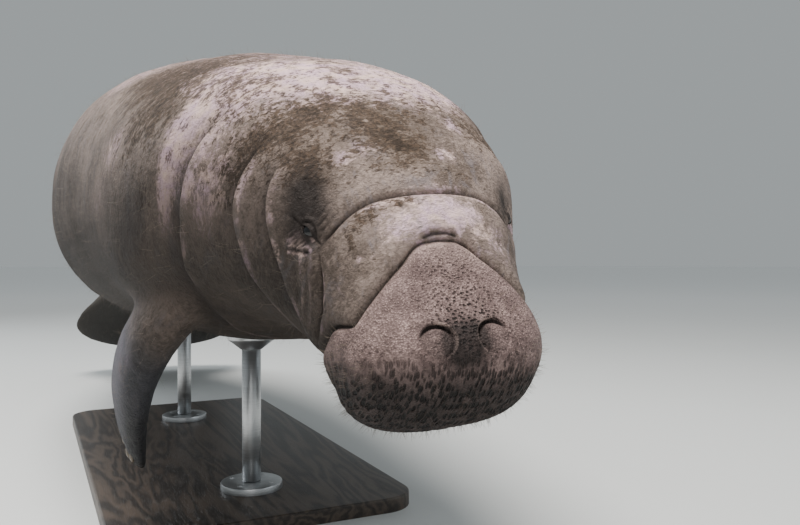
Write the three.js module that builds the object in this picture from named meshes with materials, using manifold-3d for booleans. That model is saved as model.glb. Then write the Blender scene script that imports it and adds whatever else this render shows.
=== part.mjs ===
// A life-size Florida manatee that swims with its head bent down, held over the floor by a plain display
// stand. Millimetres, +Z up. The head points to -Y, so the animal's right side is at -X.
// The origin is the middle of the stand's underside.
import * as THREE from "three";
import { mergeVertices } from "three/addons/utils/BufferGeometryUtils.js";
import Module from "manifold-3d";

const wasm = await Module();
wasm.setup();

const GAP = 0.3; // left between pieces that touch
const BODY_LENGTH = 3000; // along the spine, from the snout to the tip of the tail

// Cross-sections along the body. "at" is the distance from the snout, "half" the half width,
// "top" and "bottom" the heights above and below the spine.
const SECTIONS = [
  { at: 70, half: 119, top: 77, bottom: 98 }, // upper lip
  { at: 130, half: 124, top: 94, bottom: 103 }, // nose crease
  { at: 200, half: 148, top: 126, bottom: 128 }, // eyes
  { at: 280, half: 184, top: 152, bottom: 156 }, // cheeks
  { at: 380, half: 234, top: 187, bottom: 184 }, // nape
  { at: 500, half: 280, top: 224, bottom: 208 }, // neck
  { at: 650, half: 311, top: 254, bottom: 232 }, // shoulders
  { at: 800, half: 324, top: 270, bottom: 250 }, // chest
  { at: 1000, half: 343, top: 293, bottom: 276 },
  { at: 1300, half: 358, top: 309, bottom: 291 }, // belly
  { at: 1600, half: 340, top: 295, bottom: 276 },
  { at: 1900, half: 290, top: 252, bottom: 232 }, // hips
  { at: 2150, half: 223, top: 189, bottom: 179 },
  { at: 2340, half: 184, top: 134, bottom: 126 }, // tail stock
  { at: 2450, half: 196, top: 92, bottom: 86 },
  { at: 2560, half: 242, top: 58, bottom: 54 },
  { at: 2670, half: 292, top: 42, bottom: 38 }, // paddle
  { at: 2780, half: 316, top: 32, bottom: 29 },
  { at: 3000, half: 318, top: 18, bottom: 16 },
];
const SECTION_POWER = 2.25; // 2 is an ellipse, more is squarer
const SNOUT_DEPTH = 70; // over which the front of the snout closes
const SNOUT_POWER = 2.3;
const LIP_SPREAD = 0.09; // share by which the muzzle is wider at the lips than on top

const PADDLE_END = { from: 2760, power: 2.3 }; // where the paddle starts to round off

// How the spine bends: [distance from the snout, degrees]. Pitch is how steeply it climbs towards the tail,
// and yaw is how far it turns to the animal's left there.
const PITCH = [
  [0, 43], [150, 43], [300, 30], [500, 2], [800, 5], [1400, -2], [2000, -17], [2400, -24], [3000, -33],
];
const YAW = [[0, 3.5], [300, -2.7], [800, 0], [1600, 0.5], [2300, 5.5], [3000, 8.5]];
const HEAD_ROLL = 5.5; // the left eye is carried higher
const ANCHOR = { at: 800, x: 0, y: -500, z: 600 }; // where the spine passes over the stand

// Skin folds that ring the neck: each roll overlaps the one behind it. "line" is where the fold lies, as
// [degrees from the top of the neck, distance from the snout].
const NECK_FOLDS = [
  { depth: 15, line: [[40, 290], [53, 276], [69, 253], [81, 228], [92, 197], [104, 162], [180, 158]] },
  {
    depth: 17,
    line: [[45, 320], [67, 306], [80, 295], [90, 279], [100, 262], [110, 236], [124, 205], [180, 190]],
  },
  { depth: 12, line: [[60, 384], [90, 388], [103, 394], [115, 404], [131, 422], [143, 450], [180, 480]] },
];
const FOLD_STEP = 5; // over which a fold drops
// How much of a fold's depth stands out before its line and sinks in behind it, and how far each reaches.
const FOLD_SHAPE = { front: 0.4, frontReach: 34, rear: 0.6, rearReach: 26 };
const FOLD_FROM = 36; // degrees from the top of the neck, where the folds start
const FOLD_FULL = 78;
// Creases of the face, with the same kind of line. The brow's runs on below the eye, behind the jowl.
const NOSE_CREASE = {
  depth: 8,
  width: 11,
  line: [[0, 151], [7, 149], [20, 130], [36, 113], [53, 99], [66, 92], [91, 119], [116, 126]],
};
const BROW_CREASE = {
  depth: 7,
  width: 11,
  line: [
    [0, 203], [23, 203], [34, 200], [47, 194], [61, 187], [73, 162], [91, 141], [104, 138], [180, 140],
  ],
};
const BRIDGE_CREASE = { depth: 3, width: 9, line: [[20, 164], [35, 153], [48, 158]] };
const MOUTH = { frontAt: 40, frontHeight: -92, cornerAt: 125, cornerHeight: -52, inset: 11 };
const CHIN_BACK = 185; // where the chin ends and the throat starts

// Soft forms of the skin: where each lies, how far it reaches along and round the body, and its lift.
const SWELLINGS = [
  { at: 211, fromTop: 60, long: 26, round: 11, lift: -6 }, // the hollow that holds the eye
  { at: 273, fromTop: 56, long: 40, round: 30, lift: 10 }, // the brow behind it
  { at: 535, fromTop: 116, long: 110, round: 24, lift: 16 }, // the shoulder
];

const EYE = { at: 211, fromTop: 60, radius: 12, sunk: 7, lid: 5 };
const NOSTRIL = { at: 34, fromTop: 13.5, radius: 17, opening: 6, depth: 16, rim: 2.5 };

// Flippers: distances along the flipper from the shoulder, half chord and half thickness.
const FLIPPER_SECTIONS = [
  { at: -110, chord: 58, thick: 44 },
  { at: 0, chord: 74, thick: 43 },
  { at: 90, chord: 73, thick: 38 },
  { at: 190, chord: 76, thick: 30 },
  { at: 290, chord: 70, thick: 21 },
  { at: 340, chord: 60, thick: 16 },
];
const FLIPPER_LENGTH = 400;
const FLIPPER_TIP = 80; // over which the end rounds off
const SHOULDER = { at: 535, fromTop: 130, sunk: 14 };
// The way each flipper points along its length: degrees below the horizontal, degrees back from straight
// out to the side, and how far the blade's front edge is turned in.
const FLIPPER_POSES = {
  right: {
    down: [[-110, 26], [60, 42], [200, 46], [410, 52]],
    back: [[-110, 20], [60, 66], [200, 88], [410, 114]],
    turn: 2,
  },
  left: {
    down: [[-110, 20], [60, 34], [200, 44], [410, 50]],
    back: [[-110, 40], [60, 80], [200, 104], [410, 118]],
    turn: 10,
  },
};
const NAIL = { long: 20, wide: 15, thick: 7, count: 4 };

// Where the body is divided, as distances from the snout, and how finely each piece is faceted.
const PIECES = [
  { name: "neck", from: 340, to: 510, around: 46, fold: 2, counts: [5, 6] },
  { name: "chest", from: 510, to: 1000, rings: 9, around: 42 },
  { name: "torso", from: 1000, to: 1900, rings: 10, around: 38 },
  { name: "tail_stock", from: 1900, to: 2380, rings: 8, around: 36 },
];
const HEAD_REACH = 300; // farther than any part of the head is from its middle
const HEAD_PIECE = { to: 340, around: 58, counts: [13, 7, 8, 4, 3] }; // rings up to each crease or fold
const PADDLE_PIECE = { from: 2380, rings: 14, around: 36 };

const BASE = { long: 1180, wide: 580, thick: 28, corner: 70 };
const ROD = { radius: 19, foot: 62, footThick: 14, saddle: 48, saddleHeight: 36, under: 14 };
const RODS_AT = { front: 900, rear: 1640 }; // distances from the snout

const FINISHES = {
  hide: { color: 0x8a7f78, roughness: 0.7, metalness: 0 },
  muzzle: { color: 0x83736e, roughness: 0.75, metalness: 0 },
  eye: { color: 0x14110f, roughness: 0.1, metalness: 0 },
  nail: { color: 0x6f5f4b, roughness: 0.5, metalness: 0 },
  base: { color: 0x3a3c3e, roughness: 0.55, metalness: 0.2 },
  rod: { color: 0xb4b7ba, roughness: 0.3, metalness: 1 },
};

const rad = THREE.MathUtils.degToRad;
const smooth = (x, low, high) => THREE.MathUtils.smoothstep(x, low, high);
const mix = THREE.MathUtils.lerp;
const hump = (x, width) => Math.exp(-((x / width) ** 2));

// A smooth curve through [place, value] pairs that doesn't overshoot them.
function curveThrough(pairs) {
  const steps = pairs.slice(1).map((p, i) => (p[1] - pairs[i][1]) / (p[0] - pairs[i][0]));
  const slopes = pairs.map((_, i) => {
    const before = steps[i - 1] ?? steps[i];
    const after = steps[i] ?? before;
    return before * after <= 0 ? 0 : (2 * before * after) / (before + after);
  });
  return (x) => {
    let i = 0;
    while (i < pairs.length - 2 && x > pairs[i + 1][0]) i++;
    const [x0, y0] = pairs[i];
    const [x1, y1] = pairs[i + 1];
    const wide = x1 - x0;
    const u = THREE.MathUtils.clamp((x - x0) / wide, 0, 1);
    const a = (1 + 2 * u) * (1 - u) ** 2 * y0 + u ** 2 * (3 - 2 * u) * y1;
    return a + wide * (u * (1 - u) ** 2 * slopes[i] - u ** 2 * (1 - u) * slopes[i + 1]);
  };
}

const sizeCurve = (rows, key) => curveThrough(rows.map((row) => [row.at, row[key]]));
const halfAt = sizeCurve(SECTIONS, "half");
const topAt = sizeCurve(SECTIONS, "top");
const bottomAt = sizeCurve(SECTIONS, "bottom");
const pitchAt = curveThrough(PITCH);
const yawAt = curveThrough(YAW);

// The direction of the spine towards the tail.
function spineDirection(at) {
  const pitch = rad(pitchAt(at));
  const yaw = rad(yawAt(at));
  const level = Math.cos(pitch);
  return new THREE.Vector3(Math.sin(yaw) * level, Math.cos(yaw) * level, Math.sin(pitch));
}

// The spine's points, one every SPINE_STEP from the snout.
const SPINE_STEP = 5;
function traceSpine() {
  const points = [new THREE.Vector3()];
  for (let at = SPINE_STEP; at <= BODY_LENGTH; at += SPINE_STEP) {
    const step = spineDirection(at - SPINE_STEP / 2).multiplyScalar(SPINE_STEP);
    points.push(points[points.length - 1].clone().add(step));
  }
  const shift = new THREE.Vector3(ANCHOR.x, ANCHOR.y, ANCHOR.z).sub(points[ANCHOR.at / SPINE_STEP]);
  return points.map((p) => p.add(shift));
}
const SPINE = traceSpine();

// The centre and the left, up and back directions of the cross-section at a distance from the snout.
function frameAt(at) {
  const place = THREE.MathUtils.clamp(at / SPINE_STEP, 0, SPINE.length - 1);
  const i = Math.min(Math.floor(place), SPINE.length - 2);
  const centre = SPINE[i].clone().lerp(SPINE[i + 1], place - i);
  const back = spineDirection(at);
  const yaw = rad(yawAt(at));
  const roll = rad(HEAD_ROLL) * (1 - smooth(at, 250, 1100));
  const level = new THREE.Vector3(Math.cos(yaw), -Math.sin(yaw), 0);
  const upright = level.clone().cross(back);
  const left = level.clone().multiplyScalar(Math.cos(roll)).addScaledVector(upright, Math.sin(roll));
  const up = upright.multiplyScalar(Math.cos(roll)).addScaledVector(level, -Math.sin(roll));
  return { centre, left, up, back };
}

// Half width, height above, height below and power of the cross-section.
function sectionAt(at) {
  const scale = at >= SNOUT_DEPTH ? 1 : (1 - (1 - at / SNOUT_DEPTH) ** SNOUT_POWER) ** (1 / SNOUT_POWER);
  const beyond = Math.max((at - PADDLE_END.from) / (BODY_LENGTH - PADDLE_END.from), 0);
  const closing = Math.max(1 - beyond ** PADDLE_END.power, 0) ** (1 / PADDLE_END.power);
  const wide = Math.max(at, SNOUT_DEPTH);
  const power = SECTION_POWER + 0.45 * (1 - smooth(at, 60, 240)) - 0.25 * smooth(at, 2200, 2600);
  const thin = scale * closing ** 0.8;
  const half = halfAt(wide) * scale * closing;
  return { half, top: topAt(wide) * thin, bottom: bottomAt(wide) * thin, power };
}

// A point of the smooth body without folds. "angle" runs from the animal's left over its back.
function bodyPoint(at, angle, grow = 0) {
  const { centre, left, up } = frameAt(at);
  const { half, top, bottom, power } = sectionAt(at);
  const c = Math.cos(angle);
  const s = Math.sin(angle);
  const spread = 1 - LIP_SPREAD * s * (1 - smooth(at, 90, 220));
  const x = (half * spread + grow) * Math.sign(c) * Math.abs(c) ** (2 / power);
  const z = ((s > 0 ? top : bottom) + grow) * Math.sign(s) * Math.abs(s) ** (2 / power);
  return centre.addScaledVector(left, x).addScaledVector(up, z);
}

function bodyNormal(at, angle) {
  const dt = 1.5;
  const da = 0.02;
  const near = Math.max(at - dt, 0.4);
  const along = bodyPoint(near + 2 * dt, angle).sub(bodyPoint(near, angle));
  const round = bodyPoint(at, angle + da).sub(bodyPoint(at, angle - da));
  return along.cross(round).normalize();
}

// Degrees from the top of the back, the same on both sides.
function fromTop(angle) {
  const turn = THREE.MathUtils.euclideanModulo(THREE.MathUtils.radToDeg(angle) - 90, 360);
  return turn > 180 ? 360 - turn : turn;
}
const angleOf = (degreesFromTop, side) => rad(90 - side * degreesFromTop);

const mouthHeight = (at) =>
  mix(MOUTH.frontHeight, MOUTH.cornerHeight, (at - MOUTH.frontAt) / (MOUTH.cornerAt - MOUTH.frontAt));
const lineOf = (fold) => ({ ...fold, lineAt: curveThrough(fold.line) });
const noseCrease = lineOf(NOSE_CREASE);
const neckFolds = NECK_FOLDS.map(lineOf);
const browCrease = lineOf(BROW_CREASE);
const bridgeCrease = lineOf(BRIDGE_CREASE);
const MOUTH_CORNER_TURN = 116; // degrees from the top of the head

// A roll of skin that overhangs what lies behind it: a bulge before the crease and a slow rise after it.
function overlap(x, depth) {
  const { front, frontReach, rear, rearReach } = FOLD_SHAPE;
  if (x < FOLD_STEP / 2) return depth * front * Math.exp(x / frontReach);
  return -depth * rear * Math.exp(-x / rearReach);
}

// A crease with soft shoulders.
function crease(x, depth, width) {
  const shoulder = 0.35 * depth;
  return shoulder * hump(x, 3 * width) - (depth + shoulder) * hump(x, width);
}

// How far folds and creases lift the skin off the smooth body.
function reliefAt(at, angle) {
  const turn = fromTop(angle);
  const rolls = smooth(turn, FOLD_FROM, FOLD_FULL);
  let lift = 0;
  for (const fold of neckFolds) lift += rolls * overlap(at - fold.lineAt(turn), fold.depth);
  const dents = [
    { ...noseCrease, share: 1 - smooth(turn, MOUTH_CORNER_TURN - 6, MOUTH_CORNER_TURN + 12) },
    { ...browCrease, share: (1 - hump(turn - EYE.fromTop, 9)) * (1 - smooth(turn, 88, 112)) },
    { ...bridgeCrease, share: smooth(turn, 14, 26) * (1 - smooth(turn, 42, 54)) },
  ];
  for (const { depth, width, lineAt, share } of dents) {
    lift += share * crease(at - lineAt(turn), depth, width);
  }
  for (const form of SWELLINGS) {
    lift += form.lift * hump(at - form.at, form.long) * hump(turn - form.fromTop, form.round);
  }
  const height = bodyPoint(at, angle).sub(frameAt(at).centre).dot(frameAt(at).up);
  const jaw = smooth(mouthHeight(at) - height, 0, 22) * (1 - smooth(at, 110, CHIN_BACK));
  return lift - MOUTH.inset * jaw;
}

// A point of the skin. Behind the head it is only moved in its cross-section, which keeps the ends flat.
function skinPoint(at, angle) {
  const outward = bodyNormal(at, angle);
  const { back } = frameAt(at);
  outward.addScaledVector(back, -outward.dot(back) * smooth(at, 130, 260));
  return bodyPoint(at, angle).addScaledVector(outward, reliefAt(at, angle));
}

// A closed surface through rings of points. A ring of one point is a tip, and an open end is closed flat.
function closedLoft(rings) {
  const ends = [rings[0], rings[rings.length - 1]].map((ring) => {
    const middle = ring.reduce((sum, p) => sum.add(p), new THREE.Vector3()).divideScalar(ring.length);
    return [middle];
  });
  const rows = [...rings];
  if (rows[0].length > 1) rows.unshift(ends[0]);
  if (rows[rows.length - 1].length > 1) rows.push(ends[1]);
  const points = rows.flat();
  const starts = [];
  let total = 0;
  for (const row of rows) {
    starts.push(total);
    total += row.length;
  }
  const faces = [];
  for (let i = 0; i < rows.length - 1; i++) {
    const count = Math.max(rows[i].length, rows[i + 1].length);
    const here = (j) => starts[i] + (j % rows[i].length);
    const next = (j) => starts[i + 1] + (j % rows[i + 1].length);
    for (let j = 0; j < count; j++) {
      if (rows[i].length > 1) faces.push(here(j), here(j + 1), next(j));
      if (rows[i + 1].length > 1) faces.push(next(j), here(j + 1), next(j + 1));
    }
  }
  const geometry = new THREE.BufferGeometry();
  const numbers = points.flatMap((p) => p.toArray());
  geometry.setAttribute("position", new THREE.Float32BufferAttribute(numbers, 3));
  geometry.setIndex(faces);
  return geometry;
}

// A solid for joining and cutting. A surface made inside out is turned round.
function solid(geometry) {
  const plain = new THREE.BufferGeometry().setAttribute("position", geometry.getAttribute("position"));
  if (geometry.index) plain.setIndex(geometry.index);
  const merged = mergeVertices(plain, 1e-3);
  const make = (triVerts) =>
    new wasm.Manifold(
      new wasm.Mesh({ numProp: 3, vertProperties: merged.attributes.position.array, triVerts }),
    );
  const faces = new Uint32Array(merged.index.array);
  const made = make(faces);
  return made.volume() > 0 ? made : make(faces.reverse());
}

const largest = (made) => made.decompose().sort((a, b) => b.volume() - a.volume())[0];

function geometryOf(made) {
  const { vertProperties, triVerts } = made.getMesh();
  const geometry = new THREE.BufferGeometry();
  geometry.setAttribute("position", new THREE.BufferAttribute(new Float32Array(vertProperties), 3));
  geometry.setIndex(new THREE.BufferAttribute(new Uint32Array(triVerts), 1));
  return geometry;
}

const group = new THREE.Group();
function addNode(name, made, finish) {
  const mesh = new THREE.Mesh(geometryOf(largest(made)), new THREE.MeshStandardMaterial(FINISHES[finish]));
  mesh.name = name;
  group.add(mesh);
}

const ring = (at, around, pointAt = skinPoint) =>
  Array.from({ length: around }, (_, j) => {
    const angle = (2 * Math.PI * j) / around;
    return pointAt(typeof at === "function" ? at(fromTop(angle)) : at, angle);
  });

// The places of rings that follow lines across the body, such as folds, as functions of the degrees from
// the top. A fold gets a second ring close behind it. "counts" says how many rings lead up to each line.
function placesAlong(lines, counts) {
  const lineAt = (line) => (typeof line === "number" ? () => line : line.lineAt);
  return counts.flatMap((count, i) => {
    const from = lineAt(lines[i]);
    const to = lineAt(lines[i + 1]);
    const drop = neckFolds.includes(lines[i]) ? FOLD_STEP : 0;
    const steps = Array.from({ length: count + 1 }, (_, j) => j / count).slice(drop || i === 0 ? 0 : 1);
    return steps.map((u) => (turn) => mix(from(turn) + drop, to(turn), u));
  });
}

// A point of the skin, moved away from the spine.
function grownPoint(at, angle, grow) {
  const p = skinPoint(at, angle);
  return p.addScaledVector(p.clone().sub(frameAt(at).centre).normalize(), grow);
}

// A stretch of the body with flat ends, which stop half a gap short of its neighbours. Grown, it reaches
// past them, to cut what grows out of the body or holds it.
function stretch({ from, to, rings, around, fold, counts }, grow = 0) {
  const trim = grow > 0 ? -2 * GAP : GAP / 2;
  const lines = [from + trim, neckFolds[fold], to - trim];
  const evenly = Array.from({ length: rings ?? 0 }, (_, i) => mix(from + trim, to - trim, i / (rings - 1)));
  const places = rings ? evenly : placesAlong(lines, counts);
  return solid(closedLoft(places.map((at) => ring(at, around, (a, angle) => grownPoint(a, angle, grow)))));
}

const grownPieces = (...names) =>
  PIECES.filter(({ name }) => names.includes(name))
    .map((piece) => stretch(piece, 2 * GAP))
    .reduce((all, one) => all.add(one));

// A block through both sides of the head. Its outline is [behind, above] points of a cross-section.
function sideCut(frame, outline) {
  const shape = new THREE.Shape(outline.map(([y, z]) => new THREE.Vector2(y, z)));
  const wide = 2 * HEAD_REACH;
  const cut = new THREE.ExtrudeGeometry(shape, { depth: wide, bevelEnabled: false });
  cut.translate(0, 0, -wide / 2);
  const axes = new THREE.Matrix4().makeBasis(frame.back, frame.up, frame.left).setPosition(frame.centre);
  return solid(cut.applyMatrix4(axes));
}

// The place on the skin at a distance from the snout and from the top, with its outward direction.
function spot(at, degreesFromTop, side) {
  const angle = angleOf(degreesFromTop, side);
  return { point: skinPoint(at, angle), normal: bodyNormal(at, angle), frame: frameAt(at) };
}

// Axes on the skin: the third points outward and the second up the skin, towards the back of the head.
function skinAxes({ point, normal, frame }) {
  const across = frame.back.clone().cross(normal).normalize();
  const along = normal.clone().cross(across);
  return new THREE.Matrix4().makeBasis(across, along, normal).setPosition(point);
}

function ball(radius, matrix, squash = [1, 1, 1]) {
  return solid(new THREE.SphereGeometry(radius, 12, 8).scale(...squash).applyMatrix4(matrix));
}

function eyeballMatrix(place) {
  const centre = place.point.clone().addScaledVector(place.normal, -EYE.sunk);
  return skinAxes({ ...place, point: centre });
}

// The lids stand round the eye as a low ring of skin.
function lids(place) {
  const rim = new THREE.TorusGeometry(EYE.radius, EYE.lid, 8, 18).scale(0.95, 1.25, 0.7);
  return solid(rim.applyMatrix4(skinAxes(place)));
}

// A low rim stands round the flap of a nostril.
function nostrilRim(place) {
  const rim = new THREE.TorusGeometry(NOSTRIL.radius, NOSTRIL.rim, 6, 18);
  const sunk = place.point.clone().addScaledVector(place.normal, -0.6 * NOSTRIL.rim);
  return solid(rim.applyMatrix4(skinAxes({ ...place, point: sunk })));
}

// The opening of a nostril is a crescent over the round flap that closes it.
function nostrilCut(place) {
  const { radius, opening, depth } = NOSTRIL;
  const half = rad(78);
  const inner = radius - 1;
  const shape = new THREE.Shape();
  shape.absarc(0, 0, radius, Math.PI / 2 - half, Math.PI / 2 + half, false);
  const steps = 10;
  for (let i = 1; i < steps; i++) {
    const a = Math.PI / 2 + half - (2 * half * i) / steps;
    shape.lineTo(inner * Math.cos(a), inner * Math.sin(a) - opening * Math.sin((Math.PI * i) / steps));
  }
  const cut = new THREE.ExtrudeGeometry(shape, { depth, bevelEnabled: false, curveSegments: 12 });
  return solid(cut.translate(0, 0, -depth * 0.6).applyMatrix4(skinAxes(place)));
}

function buildHead() {
  const { to, around, counts } = HEAD_PIECE;
  const tip = [frameAt(0).centre];
  const lines = [0, noseCrease, browCrease, neckFolds[0], neckFolds[1], to - GAP / 2];
  const places = placesAlong(lines, counts);
  places[0] = (turn) => places[1](turn) * 0.35; // closes the very front more gently
  let whole = solid(closedLoft([tip, ...places.map((at) => ring(at, around))]));
  for (const side of [1, -1]) {
    const name = side > 0 ? "left" : "right";
    const eye = spot(EYE.at, EYE.fromTop, side);
    const nostril = spot(NOSTRIL.at, NOSTRIL.fromTop, side);
    whole = whole.add(lids(eye)).subtract(ball(EYE.radius + GAP, eyeballMatrix(eye)));
    whole = whole.add(nostrilRim(nostril)).subtract(nostrilCut(nostril));
    addNode(`eye_${name}`, ball(EYE.radius, eyeballMatrix(eye)), "eye");
  }
  const frame = frameAt(0);
  const far = HEAD_REACH;
  const jawOutline = (grow) => [
    [-far, mouthHeight(-far) + grow],
    [MOUTH.cornerAt + grow, mouthHeight(MOUTH.cornerAt) + grow],
    [CHIN_BACK + grow, -bottomAt(CHIN_BACK) - 40],
    [CHIN_BACK + grow, -far],
    [-far, -far],
  ];
  addNode("lower_jaw", whole.intersect(sideCut(frame, jawOutline(0))), "muzzle");
  const upper = whole.subtract(sideCut(frame, jawOutline(GAP)));
  // The muzzle is parted from the head along the nose crease.
  const creaseRing = (share, grow) =>
    ring((turn) => noseCrease.lineAt(turn) + grow, around, (at, angle) =>
      frameAt(at).centre.lerp(bodyPoint(at, angle), share),
    );
  const inFront = (grow) => {
    const before = frame.centre.clone().addScaledVector(frame.back, -far);
    const wide = creaseRing(2, grow);
    const shifted = wide.map((p) => p.clone().addScaledVector(frame.back, -far));
    const inside = frameAt(MOUTH.cornerAt + grow).centre;
    return solid(closedLoft([[before], shifted, wide, creaseRing(0.5, grow), [inside]]));
  };
  addNode("muzzle", upper.intersect(inFront(0)), "muzzle");
  addNode("head", upper.subtract(inFront(GAP)), "hide");
}

// The middle line of a flipper, with the directions of its length, its chord and its back.
function flipperLine(side, pose) {
  const downAt = curveThrough(pose.down);
  const backAt = curveThrough(pose.back);
  const direction = (at) => {
    const down = rad(downAt(at));
    const back = rad(backAt(at));
    const level = Math.cos(down);
    return new THREE.Vector3(side * level * Math.cos(back), level * Math.sin(back), -Math.sin(down));
  };
  const { point, normal } = spot(SHOULDER.at, SHOULDER.fromTop, side);
  const start = point.addScaledVector(normal, -SHOULDER.sunk);
  return (at) => {
    const steps = 16;
    const place = start.clone();
    for (let i = 0; i < steps; i++) place.addScaledVector(direction((at * (i + 0.5)) / steps), at / steps);
    const along = direction(at);
    const turn = rad(pose.turn);
    const chord = new THREE.Vector3(side * -Math.sin(turn), -Math.cos(turn), 0);
    chord.addScaledVector(along, -chord.dot(along)).normalize();
    const outer = along.clone().cross(chord).multiplyScalar(-side);
    return { place, along, chord, outer };
  };
}

const chordAt = sizeCurve(FLIPPER_SECTIONS, "chord");
const thickAt = sizeCurve(FLIPPER_SECTIONS, "thick");

// A point of a flipper. "angle" runs from its front edge over its outer face.
function flipperPoint(line, at, angle) {
  const { place, chord, outer } = line(at);
  const q = Math.max((at - FLIPPER_LENGTH + FLIPPER_TIP) / FLIPPER_TIP, 0);
  const closing = Math.sqrt(Math.max(1 - q ** 2.2, 0));
  const x = chordAt(at) * closing * Math.cos(angle);
  const z = thickAt(at) * closing ** 0.8 * Math.sin(angle);
  return place.addScaledVector(chord, x).addScaledVector(outer, z);
}

function buildFlipper(name, side) {
  const line = flipperLine(side, FLIPPER_POSES[name]);
  const first = FLIPPER_SECTIONS[0].at;
  const body = FLIPPER_LENGTH - FLIPPER_TIP;
  const places = Array.from({ length: 11 }, (_, i) => mix(first, body, i / 10));
  places.push(...[0.45, 0.75, 0.92, 0.985].map((q) => body + q * FLIPPER_TIP));
  const rows = places.map((at) => ring(at, 20, (a, angle) => flipperPoint(line, a, angle)));
  rows.push([line(FLIPPER_LENGTH).place]);
  let made = solid(closedLoft(rows)).subtract(grownPieces("neck", "chest"));
  for (let i = 0; i < NAIL.count; i++) {
    const at = FLIPPER_LENGTH - 12 - 13 * Math.abs(i - 1) - 5 * i;
    const angle = rad(128 - 26 * i);
    const { along, outer } = line(at);
    const point = flipperPoint(line, at, angle);
    const axes = new THREE.Matrix4().makeBasis(along.clone().cross(outer), along, outer).setPosition(point);
    const nail = (grow) =>
      ball(1, axes, [NAIL.wide / 2 + grow, NAIL.long / 2 + grow, NAIL.thick / 2 + grow]);
    made = made.subtract(nail(GAP));
    addNode(`nail_${name}_${i + 1}`, nail(0), "nail");
  }
  addNode(`flipper_${name}`, made, "hide");
}

function buildPaddle() {
  const { from, rings, around } = PADDLE_PIECE;
  const end = BODY_LENGTH;
  const places = Array.from({ length: rings }, (_, i) => {
    const q = i / rings;
    return mix(from + GAP / 2, end, 1 - (1 - q) ** 1.5);
  });
  const rows = places.map((at) => ring(at, around));
  addNode("tail_paddle", solid(closedLoft([...rows, [frameAt(end).centre]])), "hide");
}

function buildBase() {
  const { long, wide, thick, corner } = BASE;
  const x = wide / 2;
  const y = long / 2;
  const shape = new THREE.Shape();
  shape.moveTo(-x + corner, -y);
  shape.absarc(x - corner, -y + corner, corner, -Math.PI / 2, 0);
  shape.absarc(x - corner, y - corner, corner, 0, Math.PI / 2);
  shape.absarc(-x + corner, y - corner, corner, Math.PI / 2, Math.PI);
  shape.absarc(-x + corner, -y + corner, corner, Math.PI, 1.5 * Math.PI);
  const plate = new THREE.ExtrudeGeometry(shape, { depth: thick, bevelEnabled: false, curveSegments: 8 });
  addNode("stand_base", solid(plate), "base");
}

// A rod that stands in a round foot and carries a saddle, which follows the belly.
function buildRod(name, at) {
  const { radius, foot, footThick, saddle, saddleHeight, under } = ROD;
  const { y } = frameAt(at).centre;
  const belly = skinPoint(at, -Math.PI / 2).z;
  const low = BASE.thick + GAP;
  const rodFrom = low + footThick + GAP;
  const rodTo = belly - saddleHeight;
  const turned = (profile) => {
    const points = profile.map(([r, z]) => new THREE.Vector2(r, z));
    return solid(new THREE.LatheGeometry(points, 24).rotateX(Math.PI / 2).translate(0, y, 0));
  };
  const bevel = 3;
  const disc = [[0, low], [foot, low], [foot, low + footThick - bevel], [foot - bevel, low + footThick]];
  addNode(`stand_foot_${name}`, turned([...disc, [0, low + footThick]]), "rod");
  const shaft = [[0, rodFrom], [radius, rodFrom], [radius, rodTo], [0, rodTo]];
  addNode(`stand_rod_${name}`, turned(shaft), "rod");
  const cone = [[0, rodTo + GAP], [radius + bevel, rodTo + GAP], [saddle, belly - under]];
  const cup = turned([...cone, [saddle, belly + saddle], [0, belly + saddle]]);
  addNode(`stand_saddle_${name}`, cup.subtract(grownPieces("chest", "torso")), "rod");
}

buildHead();
for (const piece of PIECES) addNode(piece.name, stretch(piece), "hide");
buildPaddle();
buildFlipper("right", -1);
buildFlipper("left", 1);
buildBase();
buildRod("front", RODS_AT.front);
buildRod("rear", RODS_AT.rear);

export default group;
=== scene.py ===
"""A life-size Florida manatee that swims with its head bent down, on a plain display stand.

One wrinkled skin covers the packed model's body. Eyes, nails, hairs, bristles and the stand are pieces of
their own. Shapes are worked out in millimetres, with the same named sizes as the solids, and the finished
meshes are in metres, in the frame of the packed model.
"""

import math

import bmesh
import bpy
import numpy as np
from mathutils import Matrix, Vector


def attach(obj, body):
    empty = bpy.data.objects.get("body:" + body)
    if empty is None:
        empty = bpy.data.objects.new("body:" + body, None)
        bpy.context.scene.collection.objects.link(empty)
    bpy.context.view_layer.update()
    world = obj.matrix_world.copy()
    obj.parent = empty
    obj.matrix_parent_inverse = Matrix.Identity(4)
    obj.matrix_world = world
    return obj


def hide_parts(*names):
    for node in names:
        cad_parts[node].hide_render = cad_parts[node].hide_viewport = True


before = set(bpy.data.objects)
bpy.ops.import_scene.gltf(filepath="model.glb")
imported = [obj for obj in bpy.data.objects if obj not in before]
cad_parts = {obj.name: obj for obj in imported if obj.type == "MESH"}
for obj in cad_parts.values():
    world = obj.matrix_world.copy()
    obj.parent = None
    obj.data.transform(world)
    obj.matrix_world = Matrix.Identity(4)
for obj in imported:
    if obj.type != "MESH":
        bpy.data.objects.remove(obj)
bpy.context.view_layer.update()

bl_info = {
    "name": "Manatee on a stand",
    "version": (1, 0, 0),
    "blender": (4, 5, 0),
    "location": "View3D > Sidebar > Manatee",
    "description": "Builds the skin, eyes, nails, hairs and stand of a life-size manatee",
    "category": "Add Mesh",
}

MM = 0.001
LEFT, RIGHT = 1, -1

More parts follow.
